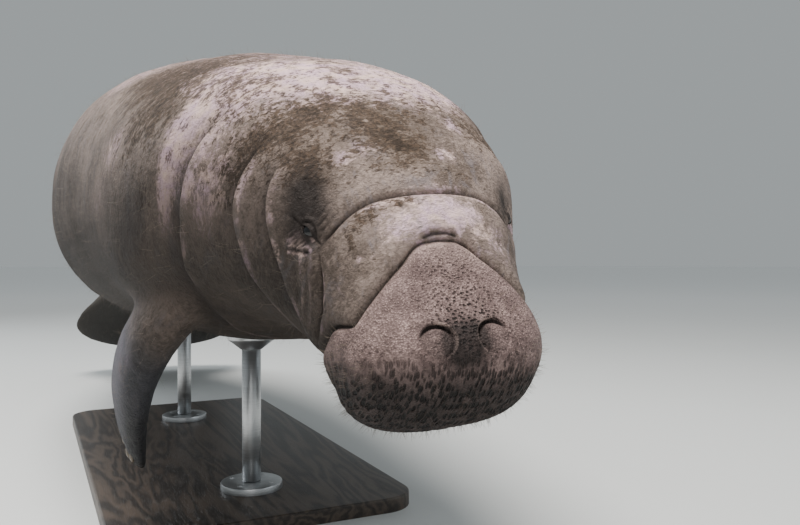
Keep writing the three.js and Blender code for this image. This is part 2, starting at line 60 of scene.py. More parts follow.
# The body, in millimetres. "at" is the distance from the snout along the spine, and "turn" is an angle in
# degrees from the top of the back, positive on the animal's left.
BODY_LENGTH = 3000.0
SECTIONS = (  # at, half width, height above the spine, height below it
    (70, 119, 77, 98),
    (130, 124, 94, 103),
    (200, 148, 126, 128),
    (280, 184, 152, 156),
    (380, 234, 187, 184),
    (500, 280, 224, 208),
    (650, 311, 254, 232),
    (800, 324, 270, 250),
    (1000, 343, 293, 276),
    (1300, 358, 309, 291),
    (1600, 340, 295, 276),
    (1900, 290, 252, 232),
    (2150, 223, 189, 179),
    (2340, 184, 134, 126),
    (2450, 196, 92, 86),
    (2560, 242, 58, 54),
    (2670, 292, 42, 38),
    (2780, 316, 32, 29),
    (3000, 318, 18, 16),
)
SECTION_POWER = 2.25  # 2 is an ellipse, more is squarer
SNOUT_DEPTH = 70.0
SNOUT_POWER = 2.3
LIP_SPREAD = 0.09
PADDLE_END_FROM = 2760.0
PADDLE_END_POWER = 2.3
PITCH = ((0, 43), (150, 43), (300, 30), (500, 2), (800, 5), (1400, -2), (2000, -17), (2400, -24), (3000, -33))
YAW = ((0, 3.5), (300, -2.7), (800, 0), (1600, 0.5), (2300, 5.5), (3000, 8.5))
HEAD_ROLL = 5.5
ANCHOR_AT = 800.0
ANCHOR = (0.0, -500.0, 600.0)
SPINE_STEP = 5.0

# Rolls of skin round the neck: depth, and the line of each as (turn, at).
NECK_FOLDS = (
    (15, ((40, 290), (53, 276), (69, 253), (81, 228), (92, 197), (104, 162), (180, 158))),
    (17, ((45, 320), (67, 306), (80, 295), (90, 279), (100, 262), (110, 236), (124, 205), (180, 190))),
    (12, ((60, 384), (90, 388), (103, 394), (115, 404), (131, 422), (143, 450), (180, 480))),
)
FOLD_FROM, FOLD_FULL = 36, 78
FOLD_RISE, FOLD_RISE_REACH = 0.4, 34  # how far a roll swells before its fold, as a share of its depth
FOLD_DROP, FOLD_DROP_REACH = 0.85, 24  # how far the skin drops behind it
FOLD_OVERHANG = 0.36  # how far a roll's edge hangs over its fold
NOSE_CREASE = ((0, 151), (7, 149), (20, 130), (36, 113), (53, 99), (66, 92), (91, 119), (116, 126))
BROW_CREASE = (
    (0, 203),
    (23, 203),
    (34, 200),
    (47, 194),
    (61, 187),
    (73, 162),
    (91, 141),
    (104, 138),
    (180, 140),
)
BRIDGE_CREASE = ((20, 164), (35, 153), (48, 158))
MOUTH_FRONT, MOUTH_CORNER, MOUTH_INSET = (40, -92), (125, -52), 11
CHIN_BACK = 185
EYE_AT, EYE_TURN, EYE_RADIUS, EYE_SUNK = 211, 60, 12.0, 7.0
NOSTRIL_AT, NOSTRIL_TURN, NOSTRIL_RADIUS = 34, 13.5, 18.0

# Flippers: (along, half chord, half thickness).
FLIPPER_SECTIONS = (
    (-110, 58, 44),
    (0, 74, 43),
    (90, 73, 38),
    (190, 76, 30),
    (290, 70, 21),
    (340, 60, 16),
)
FLIPPER_LENGTH, FLIPPER_TIP = 400.0, 80.0
SHOULDER_AT, SHOULDER_TURN = 535, 130
FLIPPER_POSES = {  # down: degrees below the horizontal, back: degrees back from straight out to the side
    RIGHT: {
        "down": ((-110, 26), (60, 42), (200, 46), (410, 52)),
        "back": ((-110, 20), (60, 66), (200, 88), (410, 114)),
        "turn": 2,
    },
    LEFT: {
        "down": ((-110, 20), (60, 34), (200, 44), (410, 50)),
        "back": ((-110, 40), (60, 80), (200, 104), (410, 118)),
        "turn": 10,
    },
}
NAIL_COUNT = 4
SIDE_NAMES = {LEFT: "left", RIGHT: "right"}
FLESH = (
    *("lower_jaw", "muzzle", "head", "neck", "chest", "torso", "tail_stock", "tail_paddle"),
    *("flipper_left", "flipper_right"),
)

# How finely the skin is divided: columns round the body, and rows in each stretch between two lines.
COLUMNS = 184
FLIPPER_COLUMNS, FLIPPER_ROWS = 72, 66


def mix(a, b, share):
    return a + (b - a) * share


def smooth(x, low, high):
    u = np.clip((x - low) / (high - low), 0, 1)
    return u * u * (3 - 2 * u)


def hump(x, width):
    return np.exp(-((x / width) ** 2))


def curve_through(pairs):
    """A smooth curve through (place, value) pairs that doesn't overshoot them."""
    places, values = np.array(pairs, float).T
    steps = np.diff(values) / np.diff(places)
    before = np.concatenate([steps[:1], steps])
    after = np.concatenate([steps, steps[-1:]])
    total = np.where(before + after == 0, 1, before + after)
    slopes = np.where(before * after <= 0, 0, 2 * before * after / total)

    def value(x):
        x = np.asarray(x, float)
        i = np.clip(np.searchsorted(places, x) - 1, 0, len(places) - 2)
        wide = places[i + 1] - places[i]
        u = np.clip((x - places[i]) / wide, 0, 1)
        level = (1 + 2 * u) * (1 - u) ** 2 * values[i] + u**2 * (3 - 2 * u) * values[i + 1]
        return level + wide * (u * (1 - u) ** 2 * slopes[i] - u**2 * (1 - u) * slopes[i + 1])

    return value


half_at, top_at, bottom_at = (curve_through([(row[0], row[k]) for row in SECTIONS]) for k in (1, 2, 3))
pitch_at = curve_through(PITCH)
yaw_at = curve_through(YAW)
nose_line = curve_through(NOSE_CREASE)
brow_line = curve_through(BROW_CREASE)
bridge_line = curve_through(BRIDGE_CREASE)
fold_lines = [curve_through(line) for _, line in NECK_FOLDS]


def unit(vectors):
    return vectors / np.maximum(np.linalg.norm(vectors, axis=-1, keepdims=True), 1e-9)


def spine_direction(at):
    pitch, yaw = np.radians(pitch_at(at)), np.radians(yaw_at(at))
    return np.stack([np.sin(yaw) * np.cos(pitch), np.cos(yaw) * np.cos(pitch), np.sin(pitch)], -1)


def trace_spine():
    ends = np.arange(SPINE_STEP, BODY_LENGTH + 1, SPINE_STEP)
    points = np.cumsum(spine_direction(ends - SPINE_STEP / 2) * SPINE_STEP, axis=0)
    points = np.vstack([np.zeros(3), points])
    return points + np.array(ANCHOR) - points[int(ANCHOR_AT / SPINE_STEP)]


SPINE = trace_spine()


def spine_frame(at):
    """The centre and the left, up and back directions of the cross-sections at these distances."""
    at = np.asarray(at, float)
    place = np.clip(at / SPINE_STEP, 0, len(SPINE) - 1)
    i = np.minimum(place.astype(int), len(SPINE) - 2)
    centre = SPINE[i] + (SPINE[i + 1] - SPINE[i]) * (place - i)[..., None]
    back = spine_direction(at)
    yaw = np.radians(yaw_at(at))
    roll = (np.radians(HEAD_ROLL) * (1 - smooth(at, 250, 1100)))[..., None]
    level = np.stack([np.cos(yaw), -np.sin(yaw), 0 * yaw], -1)
    upright = np.cross(level, back)
    left = level * np.cos(roll) + upright * np.sin(roll)
    up = upright * np.cos(roll) - level * np.sin(roll)
    return centre, left, up, back


def section(at):
    """Half width, height above, height below and power of the cross-sections."""
    closed = np.clip(1 - at / SNOUT_DEPTH, 0, 1)
    scale = (1 - closed**SNOUT_POWER) ** (1 / SNOUT_POWER)
    beyond = np.clip((at - PADDLE_END_FROM) / (BODY_LENGTH - PADDLE_END_FROM), 0, 1)
    closing = (1 - beyond**PADDLE_END_POWER) ** (1 / PADDLE_END_POWER)
    wide = np.maximum(at, SNOUT_DEPTH)
    power = SECTION_POWER + 0.45 * (1 - smooth(at, 60, 240)) - 0.25 * smooth(at, 2200, 2600)
    thin = scale * closing**0.8
    return half_at(wide) * scale * closing, top_at(wide) * thin, bottom_at(wide) * thin, power


def section_offsets(at, angle):
    """How far the smooth body's points lie to the left of and above the spine."""
    half, top, bottom, power = section(at)
    c, s = np.cos(angle), np.sin(angle)
    spread = 1 - LIP_SPREAD * s * (1 - smooth(at, 90, 220))
    x = half * spread * np.sign(c) * np.abs(c) ** (2 / power)
    z = np.where(s > 0, top, bottom) * np.sign(s) * np.abs(s) ** (2 / power)
    return x, z


def body_point(at, angle):
    at, angle = np.broadcast_arrays(np.asarray(at, float), np.asarray(angle, float))
    centre, left, up, _ = spine_frame(at)
    x, z = section_offsets(at, angle)
    return centre + left * x[..., None] + up * z[..., None]


def body_normal(at, angle):
    near = np.maximum(at - 1.5, 0.4)
    along = body_point(near + 3, angle) - body_point(near, angle)
    across = body_point(at, angle + 0.02) - body_point(at, angle - 0.02)
    return unit(np.cross(along, across))


def turn_of(angle):
    """Degrees from the top of the back, positive on the animal's left."""
    return (90 - np.degrees(angle) + 180) % 360 - 180


def angle_of(turn):
    return np.radians(90 - turn)


def girth(at):
    """Millimetres of skin per degree of turn."""
    half, top, bottom, _ = section(at)
    return np.radians(0.5 * half + 0.25 * (top + bottom))


def mouth_height(at):
    (front_at, front), (corner_at, corner) = MOUTH_FRONT, MOUTH_CORNER
    return mix(front, corner, (at - front_at) / (corner_at - front_at))


def speckle(points, size, seed, octaves=3):
    """Smooth noise from -1 to 1, with its largest spots this many millimetres across."""
    values = np.random.default_rng(seed).uniform(-1, 1, 4096)
    total, weight = np.zeros(len(points)), 1.0
    for octave in range(octaves):
        p = points / size * 2**octave + 100.5
        cell = np.floor(p).astype(np.int64)
        f = p - cell
        f = f * f * (3 - 2 * f)
        level = np.zeros(len(points))
        for corner in np.ndindex(2, 2, 2):
            x, y, z = (cell + corner).T
            share = np.prod(np.where(corner, f, 1 - f), axis=1)
            level += share * values[(x * 7919 + y * 104729 + z * 1299709 + octave * 31) % 4096]
        total += weight * level
        weight *= 0.5
    return total


# Fine lines of the skin that the solids don't have: how deep and wide the groove is (a negative depth is a
# raised scar), how far it is darkened with painted shade, how far it or its edge is paled, and its path as
# (at, turn).
SINGLE_LINES = (
    # the short groove over the nose
    (5, 3.0, 1.1, 0.2, ((156, -5), (159, -1.5), (159, 3), (156, 6.5))),
    # scars on the snout and the lip
    (-0.7, 1.8, 0, 1, ((174, 5), (179, 11), (183, 18.5), (177, 18.6))),
    (-0.6, 1.6, 0, 0.9, ((174, 5), (163, 7), (155, 9))),
    (-0.6, 2.6, 0, 0.45, ((80, -52), (74, -49), (50, -48), (31, -49))),
    (-0.4, 2.2, 0, 0.2, ((88, -58), (66, -55), (48, -56))),
    (0.8, 1.6, 0.5, 0.1, ((22, 34), (17, 44), (15, 55))),
    # wrinkles from the corners of the mouth up the cheeks
    (1.2, 2.6, 0.3, 0.2, ((133, -66), (132, -78), (133, -90))),
    (1.2, 2.6, 0.3, 0.2, ((133, 66), (131, 80), (133, 90))),
    # long low folds of the flanks
    (4, 14, 0.35, 0, ((600, -108), (760, -117), (940, -122), (1200, -128))),
    (2.6, 14, 0.25, 0, ((700, -96), (880, -104), (1080, -108))),
    (4, 14, 0.35, 0, ((600, 108), (760, 116), (960, 121), (1180, 126))),
    (2.6, 14, 0.25, 0, ((720, 97), (900, 103), (1120, 107))),
    # soft creases over the tail stock
    (3, 16, 0.2, 0, ((2290, -100), (2310, -40), (2310, 40), (2290, 100))),
    (2.4, 14, 0.2, 0, ((2370, -80), (2385, -30), (2385, 30), (2370, 80))),
)
LINES_OF_BOTH_SIDES = (
    # from the corner of the mouth up the cheek
    (1.8, 3, 0.4, 0.2, ((143, 62), (141, 74), (140, 88))),
    # behind the eye, between the lids and the first roll
    (1.6, 3, 0.4, 0.3, ((196, 68), (184, 75), (168, 86), (158, 96))),
    (1.4, 3.4, 0.35, 0.2, ((212, 70), (198, 79), (180, 90))),
    # the fold over the flipper's root
    (9, 9, 0.7, 0.1, ((440, 113), (480, 113), (530, 114), (590, 121))),
)
LINES = SINGLE_LINES + tuple(
    (*look, [(at, side * turn) for at, turn in path])
    for *look, path in LINES_OF_BOTH_SIDES
    for side in (LEFT, RIGHT)
)
LINE_BANK, LINE_BANK_WIDTH = 0.25, 2.6  # the low bank on each side of a line, against its depth and width

# Markings: (at, turn, length along the body, width round it, strength).
PALE_PATCHES = (
    *((475, -33, 45, 40, 0.9), (423, -28, 40, 40, 1.0), (395, -15, 26, 45, 1.0), (366, -10, 18, 30, 0.8)),
    *((413, -38, 26, 30, 0.9), (385, 7, 16, 50, 1.0), (391, 18, 16, 40, 0.9), (362, 28, 16, 30, 0.5)),
    *((432, -50, 17, 55, 0.9), (428, -68, 13, 60, 0.8), (427, -86, 13, 50, 0.6), (262, -16, 12, 16, 0.4)),
    *((254, -27, 10, 18, 0.45), (248, 13, 9, 13, 0.7), (296, 23, 12, 14, 0.6), (612, -71, 50, 40, 0.45)),
    *((659, -88, 60, 30, 0.3), (270, -47, 14, 22, 0.15), (255, -66, 8, 26, 0.2), (480, 36, 60, 50, 0.8)),
    *((440, 62, 24, 70, 0.6), (620, 75, 70, 50, 0.4), (980, -40, 90, 60, 0.35), (1500, 30, 160, 60, 0.3)),
    *((1250, -60, 120, 60, 0.3), (1750, -35, 120, 50, 0.25), (178, 4, 16, 34, 0.6), (163, 24, 9, 18, 0.4)),
    *((205, 4, 9, 40, 0.35), (170, -20, 14, 26, 0.3), (140, -34, 8, 20, 0.2), (135, 4, 22, 36, 0.25)),
    *((400, -62, 46, 80, 0.5), (345, -78, 26, 60, 0.4), (178, -2, 24, 60, 0.2), (120, 8, 20, 40, 0.1)),
    *((360, 10, 40, 60, 0.35), (150, 40, 40, 40, 0.2)),
)
ALGAE_PATCHES = (
    *((266, -40, 34, 40, 0.75), (410, -36, 30, 40, 0.4), (275, -5, 20, 26, 0.9), (256, 0, 12, 24, 0.7)),
    *((308, -8, 18, 24, 0.6), (326, -60, 18, 50, 0.6), (320, -40, 20, 50, 0.6), (328, -20, 16, 34, 0.5)),
    *((238, -6, 10, 46, 0.5), (226, 12, 10, 40, 0.4), (194, -13, 8, 22, 0.8), (189, -31, 12, 16, 0.8)),
    *((173, -41, 14, 12, 0.6), (190, 26, 9, 14, 0.7), (143, -38, 12, 24, 0.35), (160, -50, 14, 22, 0.3)),
    *((300, 40, 30, 40, 0.5), (340, 60, 40, 60, 0.4), (560, -30, 90, 90, 0.7), (520, -60, 60, 60, 0.6)),
    *((480, -90, 30, 60, 0.5), (700, -37, 120, 90, 0.6), (820, 20, 200, 110, 0.5), (1200, 0, 300, 130, 0.5)),
    *((1700, 0, 300, 110, 0.4), (2500, 0, 260, 120, 0.4)),
)
NET_PATCHES = (  # where the dark pits of the lip pad are strongest
    *((95, 4, 40, 24, 0.4), (62, 3, 30, 26, 0.7), (36, 0, 22, 22, 0.9), (16, 30, 16, 40, 0.4)),
    *((60, 30, 30, 20, 0.3), (20, -45, 14, 40, 0.2), (60, -70, 26, 40, 0.1), (112, 0, 20, 26, 0.2)),
)
LIP_EDGE_HEIGHTS = (342, 414)  # over the floor, where the dark edge of the lip pad is full and where it ends
# painted shade: the skin is painted darker towards the belly, away from the palest line of the head
UNDER_SHADE_TURNS = (24, 124)  # degrees from the top of the back, over which the skin darkens towards the belly
# painted light: the lit top of the head is set off towards the side the light falls on
LIT_CROWN_TURN = 14  # the palest line of the head lies this far to the animal's left
SHADE_PATCHES = (  # sockets, the hollow between the nostrils, and behind the flippers
    *((225, -57, 28, 30, 1.0), (241, -47, 18, 22, 0.6), (215, -67, 14, 14, 0.4), (214, -44, 10, 16, 0.3)),
    *((215, 48, 22, 24, 0.8), (235, 50, 16, 16, 0.4), (48, 0, 20, 12, 0.6), (31, -1, 14, 16, 1.2)),
    *((509, -91, 30, 60, 0.6), (478, -90, 12, 40, 0.4), (15, -2, 11, 20, 0.7), (248, -44, 26, 30, 0.4)),
    *((640, -112, 130, 130, 0.35), (640, 112, 130, 130, 0.35)),
    *((900, -118, 200, 110, 0.3), (900, 118, 200, 110, 0.3)),
)


def path_distance(at, turn, path):
    """Millimetres over the skin from each point to a path of (at, turn)."""
    scale = girth(at)
    nearest = np.full(len(at), 1e9)
    for (at0, turn0), (at1, turn1) in zip(path, path[1:]):
        x, y = at - at0, (turn - turn0) * scale
        along, across = at1 - at0, (turn1 - turn0) * scale
        u = np.clip((x * along + y * across) / (along**2 + across**2 + 1e-9), 0, 1)
        nearest = np.minimum(nearest, np.hypot(x - u * along, y - u * across))
    return nearest


def patches(at, turn, rows):
    """The summed strength of soft oval patches."""
    scale = girth(at)
    total = np.zeros(len(at))
    for place, side, length, width, strength in rows:
        total += strength * hump(at - place, length) * hump((turn - side) * scale, width)
    return total


def skin_axes(at, turn):
    """A place on the skin with its axes: towards the tail, up the skin, and outward."""
    angle = np.array([angle_of(turn)])
    at = np.array([float(at)])
    normal = body_normal(at, angle)[0]
    point = (body_point(at, angle) + body_normal(at, angle) * relief(at, angle)[0][:, None])[0]
    _, _, _, back = spine_frame(at)
    across = unit(np.cross(back[0], normal))
    return point, across, np.cross(normal, across), normal


def relief(at, angle):
    """How far folds and creases lift the skin and push it towards the tail, with painted shade in them and
    painted highlights on their edges.
    """
    turn = np.abs(turn_of(angle))
    rolls = smooth(turn, FOLD_FROM, FOLD_FULL)
    lift, push = np.zeros(at.shape), np.zeros(at.shape)
    dark, pale = np.zeros(at.shape), np.zeros(at.shape)
    for (depth, _), line in zip(NECK_FOLDS, fold_lines):
        x = at - line(turn)
        front = FOLD_RISE * depth * np.exp(np.minimum(x, 0) / FOLD_RISE_REACH)
        rear = -FOLD_DROP * depth * np.exp(-np.maximum(x, 0) / FOLD_DROP_REACH)
        lift += rolls * mix(front, rear, smooth(x, -3.0, 2.0))
        lip = hump(x + 1, np.where(x < -1, 8.0, 2.4))
        push += rolls * FOLD_OVERHANG * depth * lip
        # painted shade in each fold and in a wide band behind it, under the roll that hangs over it
        dark += rolls * hump(x - 2.5, np.where(x < 2.5, 2.2, 8.0))
        dark += rolls * 0.5 * hump(x - 5, np.where(x < 5, 3, 30))
        # painted highlight along the lit edge of each roll
        pale += 0.7 * rolls * hump(x + 7, 6)
    beside_eye = 1 - 0.75 * hump(turn - EYE_TURN, 7)
    # the last column is how far painted shade darkens the sharp line
    creases = (  # line, depth, width, share, how far the sharp line is darkened
        (nose_line, 8, 11, 1 - smooth(turn, 110, 128), 0.9),
        (brow_line, 7, 11, beside_eye * (1 - smooth(turn, 96, 120)), 0.8),
        (bridge_line, 3, 9, smooth(turn, 14, 26) * (1 - smooth(turn, 42, 54)), 0.35),
    )
    for line, depth, width, share, tint in creases:
        x = at - line(turn)
        lift += share * depth * (0.35 * hump(x, 3 * width) - 0.85 * hump(x, width))
        lift -= share * depth * 0.62 * hump(x - 1, 2.3)
        lift += share * depth * 0.12 * hump(x + 6, 4)
        # painted shade in the crease and a painted highlight on its front edge
        dark += share * tint * hump(x - 1, 1.9)
        pale += share * 0.55 * hump(x + 5.5, 3.0)
    corner = hump(turn - 97, 14) * hump(at - nose_line(turn) - 3, 7)
    lift -= 7 * corner
    # painted shade in the corner at the end of the nose crease
    dark += 0.9 * corner
    lift -= 6 * hump(at - EYE_AT, 26) * hump(turn - EYE_TURN, 11)
    lift += 10 * hump(at - EYE_AT - 62, 40) * hump(turn - EYE_TURN + 4, 30)
    lift += 16 * hump(at - SHOULDER_AT, 110) * hump(turn - SHOULDER_TURN + 14, 24)
    height = section_offsets(at, angle)[1]
    below = mouth_height(at) - height
    behind = 1 - smooth(at, 110, CHIN_BACK)
    lift -= MOUTH_INSET * smooth(below, 0, 22) * behind
    mouth = behind * smooth(at, 8, 30) * hump(below - 2, 4.5)
    lift -= 6 * mouth
    # painted shade along the mouth
    dark += mouth
    return lift, push, dark, pale


# The lids: half the width of the opening, how far it opens up and down, and how thick the lids are.
LID_WIDTH, LID_UP, LID_DOWN, LID_THICK = 8.5, 3.6, 4.6, 1.3
LID_ARCH, LID_ARCH_BEND = 8.5, 0.035  # the heavy fold over the upper lid: its height and how it bends
LID_PLEATS = (-14, -7, 1, 8, 16)  # wrinkles above the eye
LID_FURROWS = (-10, -5, 0, 4.5, 9.5, 15)  # wrinkles below it
BAG_START, BAG_END, BAG_LENGTH = (-20, -15), (5, -35), 32  # the lower edge of the loose skin under the eye
EYE_REACH, NOSTRIL_REACH = 60, 45  # how far the skin round an eye and a nostril is shaped


def lid_relief(x, y):
    """The skin round an eye, above its smooth body: x runs towards the tail and y up the skin."""
    r = np.hypot(x, y)
    opening = np.abs(y) - mix(LID_DOWN, LID_UP, smooth(y, -2, 2)) * (1 - (x / LID_WIDTH) ** 2)
    ball = np.sqrt(np.maximum(EYE_RADIUS**2 - r**2, 0)) - EYE_SUNK
    lift = np.maximum(ball + LID_THICK, 0) * smooth(opening, -0.9, 0.3) - 7 * smooth(-opening, -0.2, 1.2)

    arch = y - LID_ARCH + LID_ARCH_BEND * x**2
    span = 1 - smooth(np.abs(x), 11, 19)
    lift += span * (2.6 * hump(arch - 4.5, 4.5) - 1.7 * hump(arch, 1.5))
    pleats = sum(hump(x - place - 0.12 * y, 1.4) for place in LID_PLEATS)
    pleats *= smooth(y, 10, 15) * (1 - smooth(y, 24, 38))
    furrows = sum(hump(x - place + 0.1 * y, 1.2) for place in LID_FURROWS)
    furrows *= smooth(-y, 7, 12) * (1 - smooth(-y, 26, 38))
    tail_corner = hump(y + 1.5 + 0.08 * x, 1.3) * smooth(x, 6, 10) * (1 - smooth(x, 22, 31))
    tail_corner += 0.6 * hump(y - 4 - 0.1 * x, 1.1) * smooth(x, 8, 12) * (1 - smooth(x, 18, 25))
    front_corner = hump(y - 0.5 + 0.06 * x, 1.3) * smooth(-x, 7, 10) * (1 - smooth(-x, 20, 26))
    lift -= 0.9 * pleats + 1.0 * furrows + 2.0 * tail_corner + 1.5 * front_corner

    bag_x, bag_y = x - BAG_START[0], y - BAG_START[1]
    bag_wide, bag_fall = BAG_END[0] - BAG_START[0], BAG_START[1] - BAG_END[1]
    bag_along = (bag_x * bag_wide - bag_y * bag_fall) / BAG_LENGTH**2
    bag_off = (bag_x * bag_fall + bag_y * bag_wide) / BAG_LENGTH
    bag = smooth(bag_along, -0.1, 0.15) * (1 - smooth(bag_along, 0.85, 1.15))
    lift += bag * (1.4 * hump(bag_off - 3.5, 3.5) - 1.6 * hump(bag_off, 1.5))

    # painted shade in the lid opening, the socket, the fold over the lid, the wrinkles and the bag below
    dark = 0.9 * hump(opening, 1.3) + 0.3 * hump(r, 18) + 0.4 * hump(y - 5, 4) * hump(x, 12)
    dark += 0.7 * span * hump(arch, 2) + 0.3 * pleats + 0.35 * furrows
    dark += 0.9 * tail_corner + 0.6 * front_corner
    dark += 0.6 * bag * hump(bag_off - 0.5, 1.7)
    pale = 0.8 * smooth(-y, 6, 11) * (1 - smooth(-y, 22, 36)) * hump(x - 1, 13)
    pale += 0.8 * hump(x + 11.5, 3) * hump(y + 2, 3.5) + 0.6 * bag * hump(bag_off + 3.2, 1.7)
    return lift, dark, pale, np.zeros(x.shape)


def nostril_relief(x, y, inner):
    """The flap, opening and rim of a nostril, and where its skin is smooth.

    x runs to the animal's left and y up. inner is 1 where the middle of the snout is at +x, else -1.
    """
    r = np.hypot(x, y * 1.05)
    way = np.arctan2(y, x * inner)  # 0 towards the middle of the snout
    top = smooth(np.sin(way + 0.25), -0.05, 0.95)
    round_ = 0.25 + 0.75 * smooth(np.sin(way + 0.25), -0.9, 0.3)
    groove = hump(r - NOSTRIL_RADIUS, 1.5 + 0.9 * top)
    lift = -(1.0 * round_ + 6.0 * top) * groove
    inside = 1 - smooth(r, NOSTRIL_RADIUS - 2.5, NOSTRIL_RADIUS + 0.5)
    lift += inside * (0.2 - 0.14 * (y + 4)) * (1 - 0.2 * (r / NOSTRIL_RADIUS) ** 2)
    rim = hump(r - NOSTRIL_RADIUS - 4.2, 2.4)
    middle = smooth(np.cos(way), -0.5, 0.7)
    lift += rim * (0.7 + 1.3 * middle) * (0.35 + 0.65 * round_)
    lift -= 1.0 * hump(r - NOSTRIL_RADIUS - 9, 6) * top
    lift += 0.25 * inside * np.sin(x * 1.5 + 0.3 * y) * smooth(r, 16, 9)
    # painted shade in the groove round the nostril, heaviest along its top, in a halo above it and over the
    # sunken flap
    dark = (0.3 * round_ + 1.0 * top) * hump(r - NOSTRIL_RADIUS, 1.3 + 0.5 * top)
    dark += 0.6 * top * hump(r - NOSTRIL_RADIUS - 5, 7) * (1 - 0.5 * middle) + 0.42 * inside
    pale = 1.4 * middle * round_ * hump(r - NOSTRIL_RADIUS - 3.0, 1.7) + 0.12 * inside * smooth(r, 17, 9)
    return lift, dark, pale, 0.85 * inside


def near_place(points, at, turn, reach):
    """Which points are near a place on the skin, how far they lie across and along it, and its normal."""
    place, across, along, normal = skin_axes(at, turn)
    offset = points - place
    near = np.linalg.norm(offset, axis=1) < reach
    return near, offset[near] @ across, offset[near] @ along, normal


# The streaks of the skin run along its flow, which has no seam. The third axis of the flow sets both sides of
# the body and both faces of a flipper apart.
FLOW_SIDES, FLOW_FACES = 10000.0, 40.0


def skin_surface(at, angle):
    """Points of the finished skin, in millimetres, with its markings and its painted shade and highlights."""
    turn = turn_of(angle)
    smooth_body = body_point(at, angle)
    outward = body_normal(at, angle)
    _, _, _, back = spine_frame(at)
    level = outward - back * (np.sum(outward * back, axis=1) * smooth(at, 130, 260))[:, None]
    lift, push, dark, pale = relief(at, angle)
    uneven = speckle(smooth_body, 14, 6, 2)
    pale *= 0.55 + 0.6 * uneven
    waver = 0.9 * np.abs(uneven)
    for deep, wide, darker, paler, path in LINES:
        near = path_distance(at, turn, path) + waver
        lift -= deep * (hump(near, wide) - LINE_BANK * hump(near, LINE_BANK_WIDTH * wide))
        # painted shade in the grooves
        dark += darker * hump(near, 0.75 * wide)
        pale += paler * (hump(near, wide) if deep < 0 else hump(near - 2.2 * wide, 2))
    body = smooth(at, 200, 420)
    lift += body * 2.6 * speckle(smooth_body, 150, 1, 2) * (1 - 0.8 * smooth(at, 2300, 2600))
    lift += 0.8 * speckle(smooth_body, 26, 2, 3) * (0.35 + 0.65 * body)
    points = smooth_body + level * lift[:, None] + back * push[:, None]

    calm = np.zeros(len(at))
    for side in (LEFT, RIGHT):
        near, across, along, normal = near_place(points, EYE_AT, side * EYE_TURN, EYE_REACH)
        details = [(near, normal, lid_relief(along, -side * across))]
        near, across, along, normal = near_place(points, NOSTRIL_AT, side * NOSTRIL_TURN, NOSTRIL_REACH)
        details.append((near, normal, nostril_relief(across, along, -side)))
        for near, normal, (raised, darker, paler, calmer) in details:
            points[near] += normal * raised[:, None]
            dark[near] += darker
            pale[near] += paler
            calm[near] += calmer

    width = np.abs(turn)
    muzzle = 1 - smooth(at, nose_line(width) - 3, nose_line(width) + 1)
    muzzle *= 1 - smooth(width, 116, 135) * smooth(at, 60, 100)
    lip = muzzle * (1 - smooth(points[:, 2] + 6 * speckle(points, 40, 4, 2), *LIP_EDGE_HEIGHTS))
    ridges = np.sin(points[:, 0] * 0.95 + 2.6 * speckle(points, 30, 5, 2))
    points += outward * (0.8 * lip * ridges)[:, None]
    net = muzzle * (0.1 + patches(at, turn, NET_PATCHES) + 0.7 * lip) * (1 - calm)
    algae = 0.42 * (1 - smooth(width, 30, 110)) * smooth(at, 195, 320) + patches(at, turn, ALGAE_PATCHES)
    pale += 0.4 * (1 - smooth(width, 10, 65)) * smooth(at, 290, 360) + patches(at, turn, PALE_PATCHES)
    # painted shade towards the belly, half as strong on the lip pad
    middle_turn = LIT_CROWN_TURN * (1 - smooth(at, 300, 700))
    under = smooth(np.abs(turn - middle_turn), *UNDER_SHADE_TURNS) * (1 - 0.5 * muzzle)
    dark += patches(at, turn, SHADE_PATCHES)
    tail = smooth(at, 1700, 2300)
    marks = {
        "muzzle": muzzle,
        "lip": lip,
        "net": net,
        "dark": dark,
        "pale": pale,
        "algae": algae,
        "flipper": np.zeros(len(at)),
        "tail": tail,
        "under": under,
    }
    flow = np.stack([at, width * girth(at), FLOW_SIDES * np.sin(np.radians(turn))], -1) * MM
    return points, marks, flow


def flipper_axes(side, along):
    """The middle line of a flipper, with the directions of its chord and of its outer face."""
    pose = FLIPPER_POSES[side]
    down_at, back_at = curve_through(pose["down"]), curve_through(pose["back"])

    def direction(t):
        down, back = np.radians(down_at(t)), np.radians(back_at(t))
        return np.stack([side * np.cos(down) * np.cos(back), np.cos(down) * np.sin(back), -np.sin(down)], -1)

    point, _, _, normal = skin_axes(SHOULDER_AT, side * SHOULDER_TURN)
    step = 2.0
    first = FLIPPER_SECTIONS[0][0]
    ends = np.arange(first, FLIPPER_LENGTH + step, step)
    line = np.vstack([np.zeros(3), np.cumsum(direction(ends[:-1] + step / 2) * step, axis=0)])
    line += point - 14 * normal - line[int(-first / step)]
    place = np.stack([np.interp(along, ends, line[:, k]) for k in range(3)], -1)
    ahead = direction(along)
    turned = math.radians(pose["turn"])
    chord = np.array([-side * math.sin(turned), -math.cos(turned), 0.0])
    chord = unit(chord - ahead * (ahead @ chord)[..., None])
    return place, chord, -side * np.cross(ahead, chord)


flipper_chord, flipper_thick = (curve_through([(row[0], row[k]) for row in FLIPPER_SECTIONS]) for k in (1, 2))


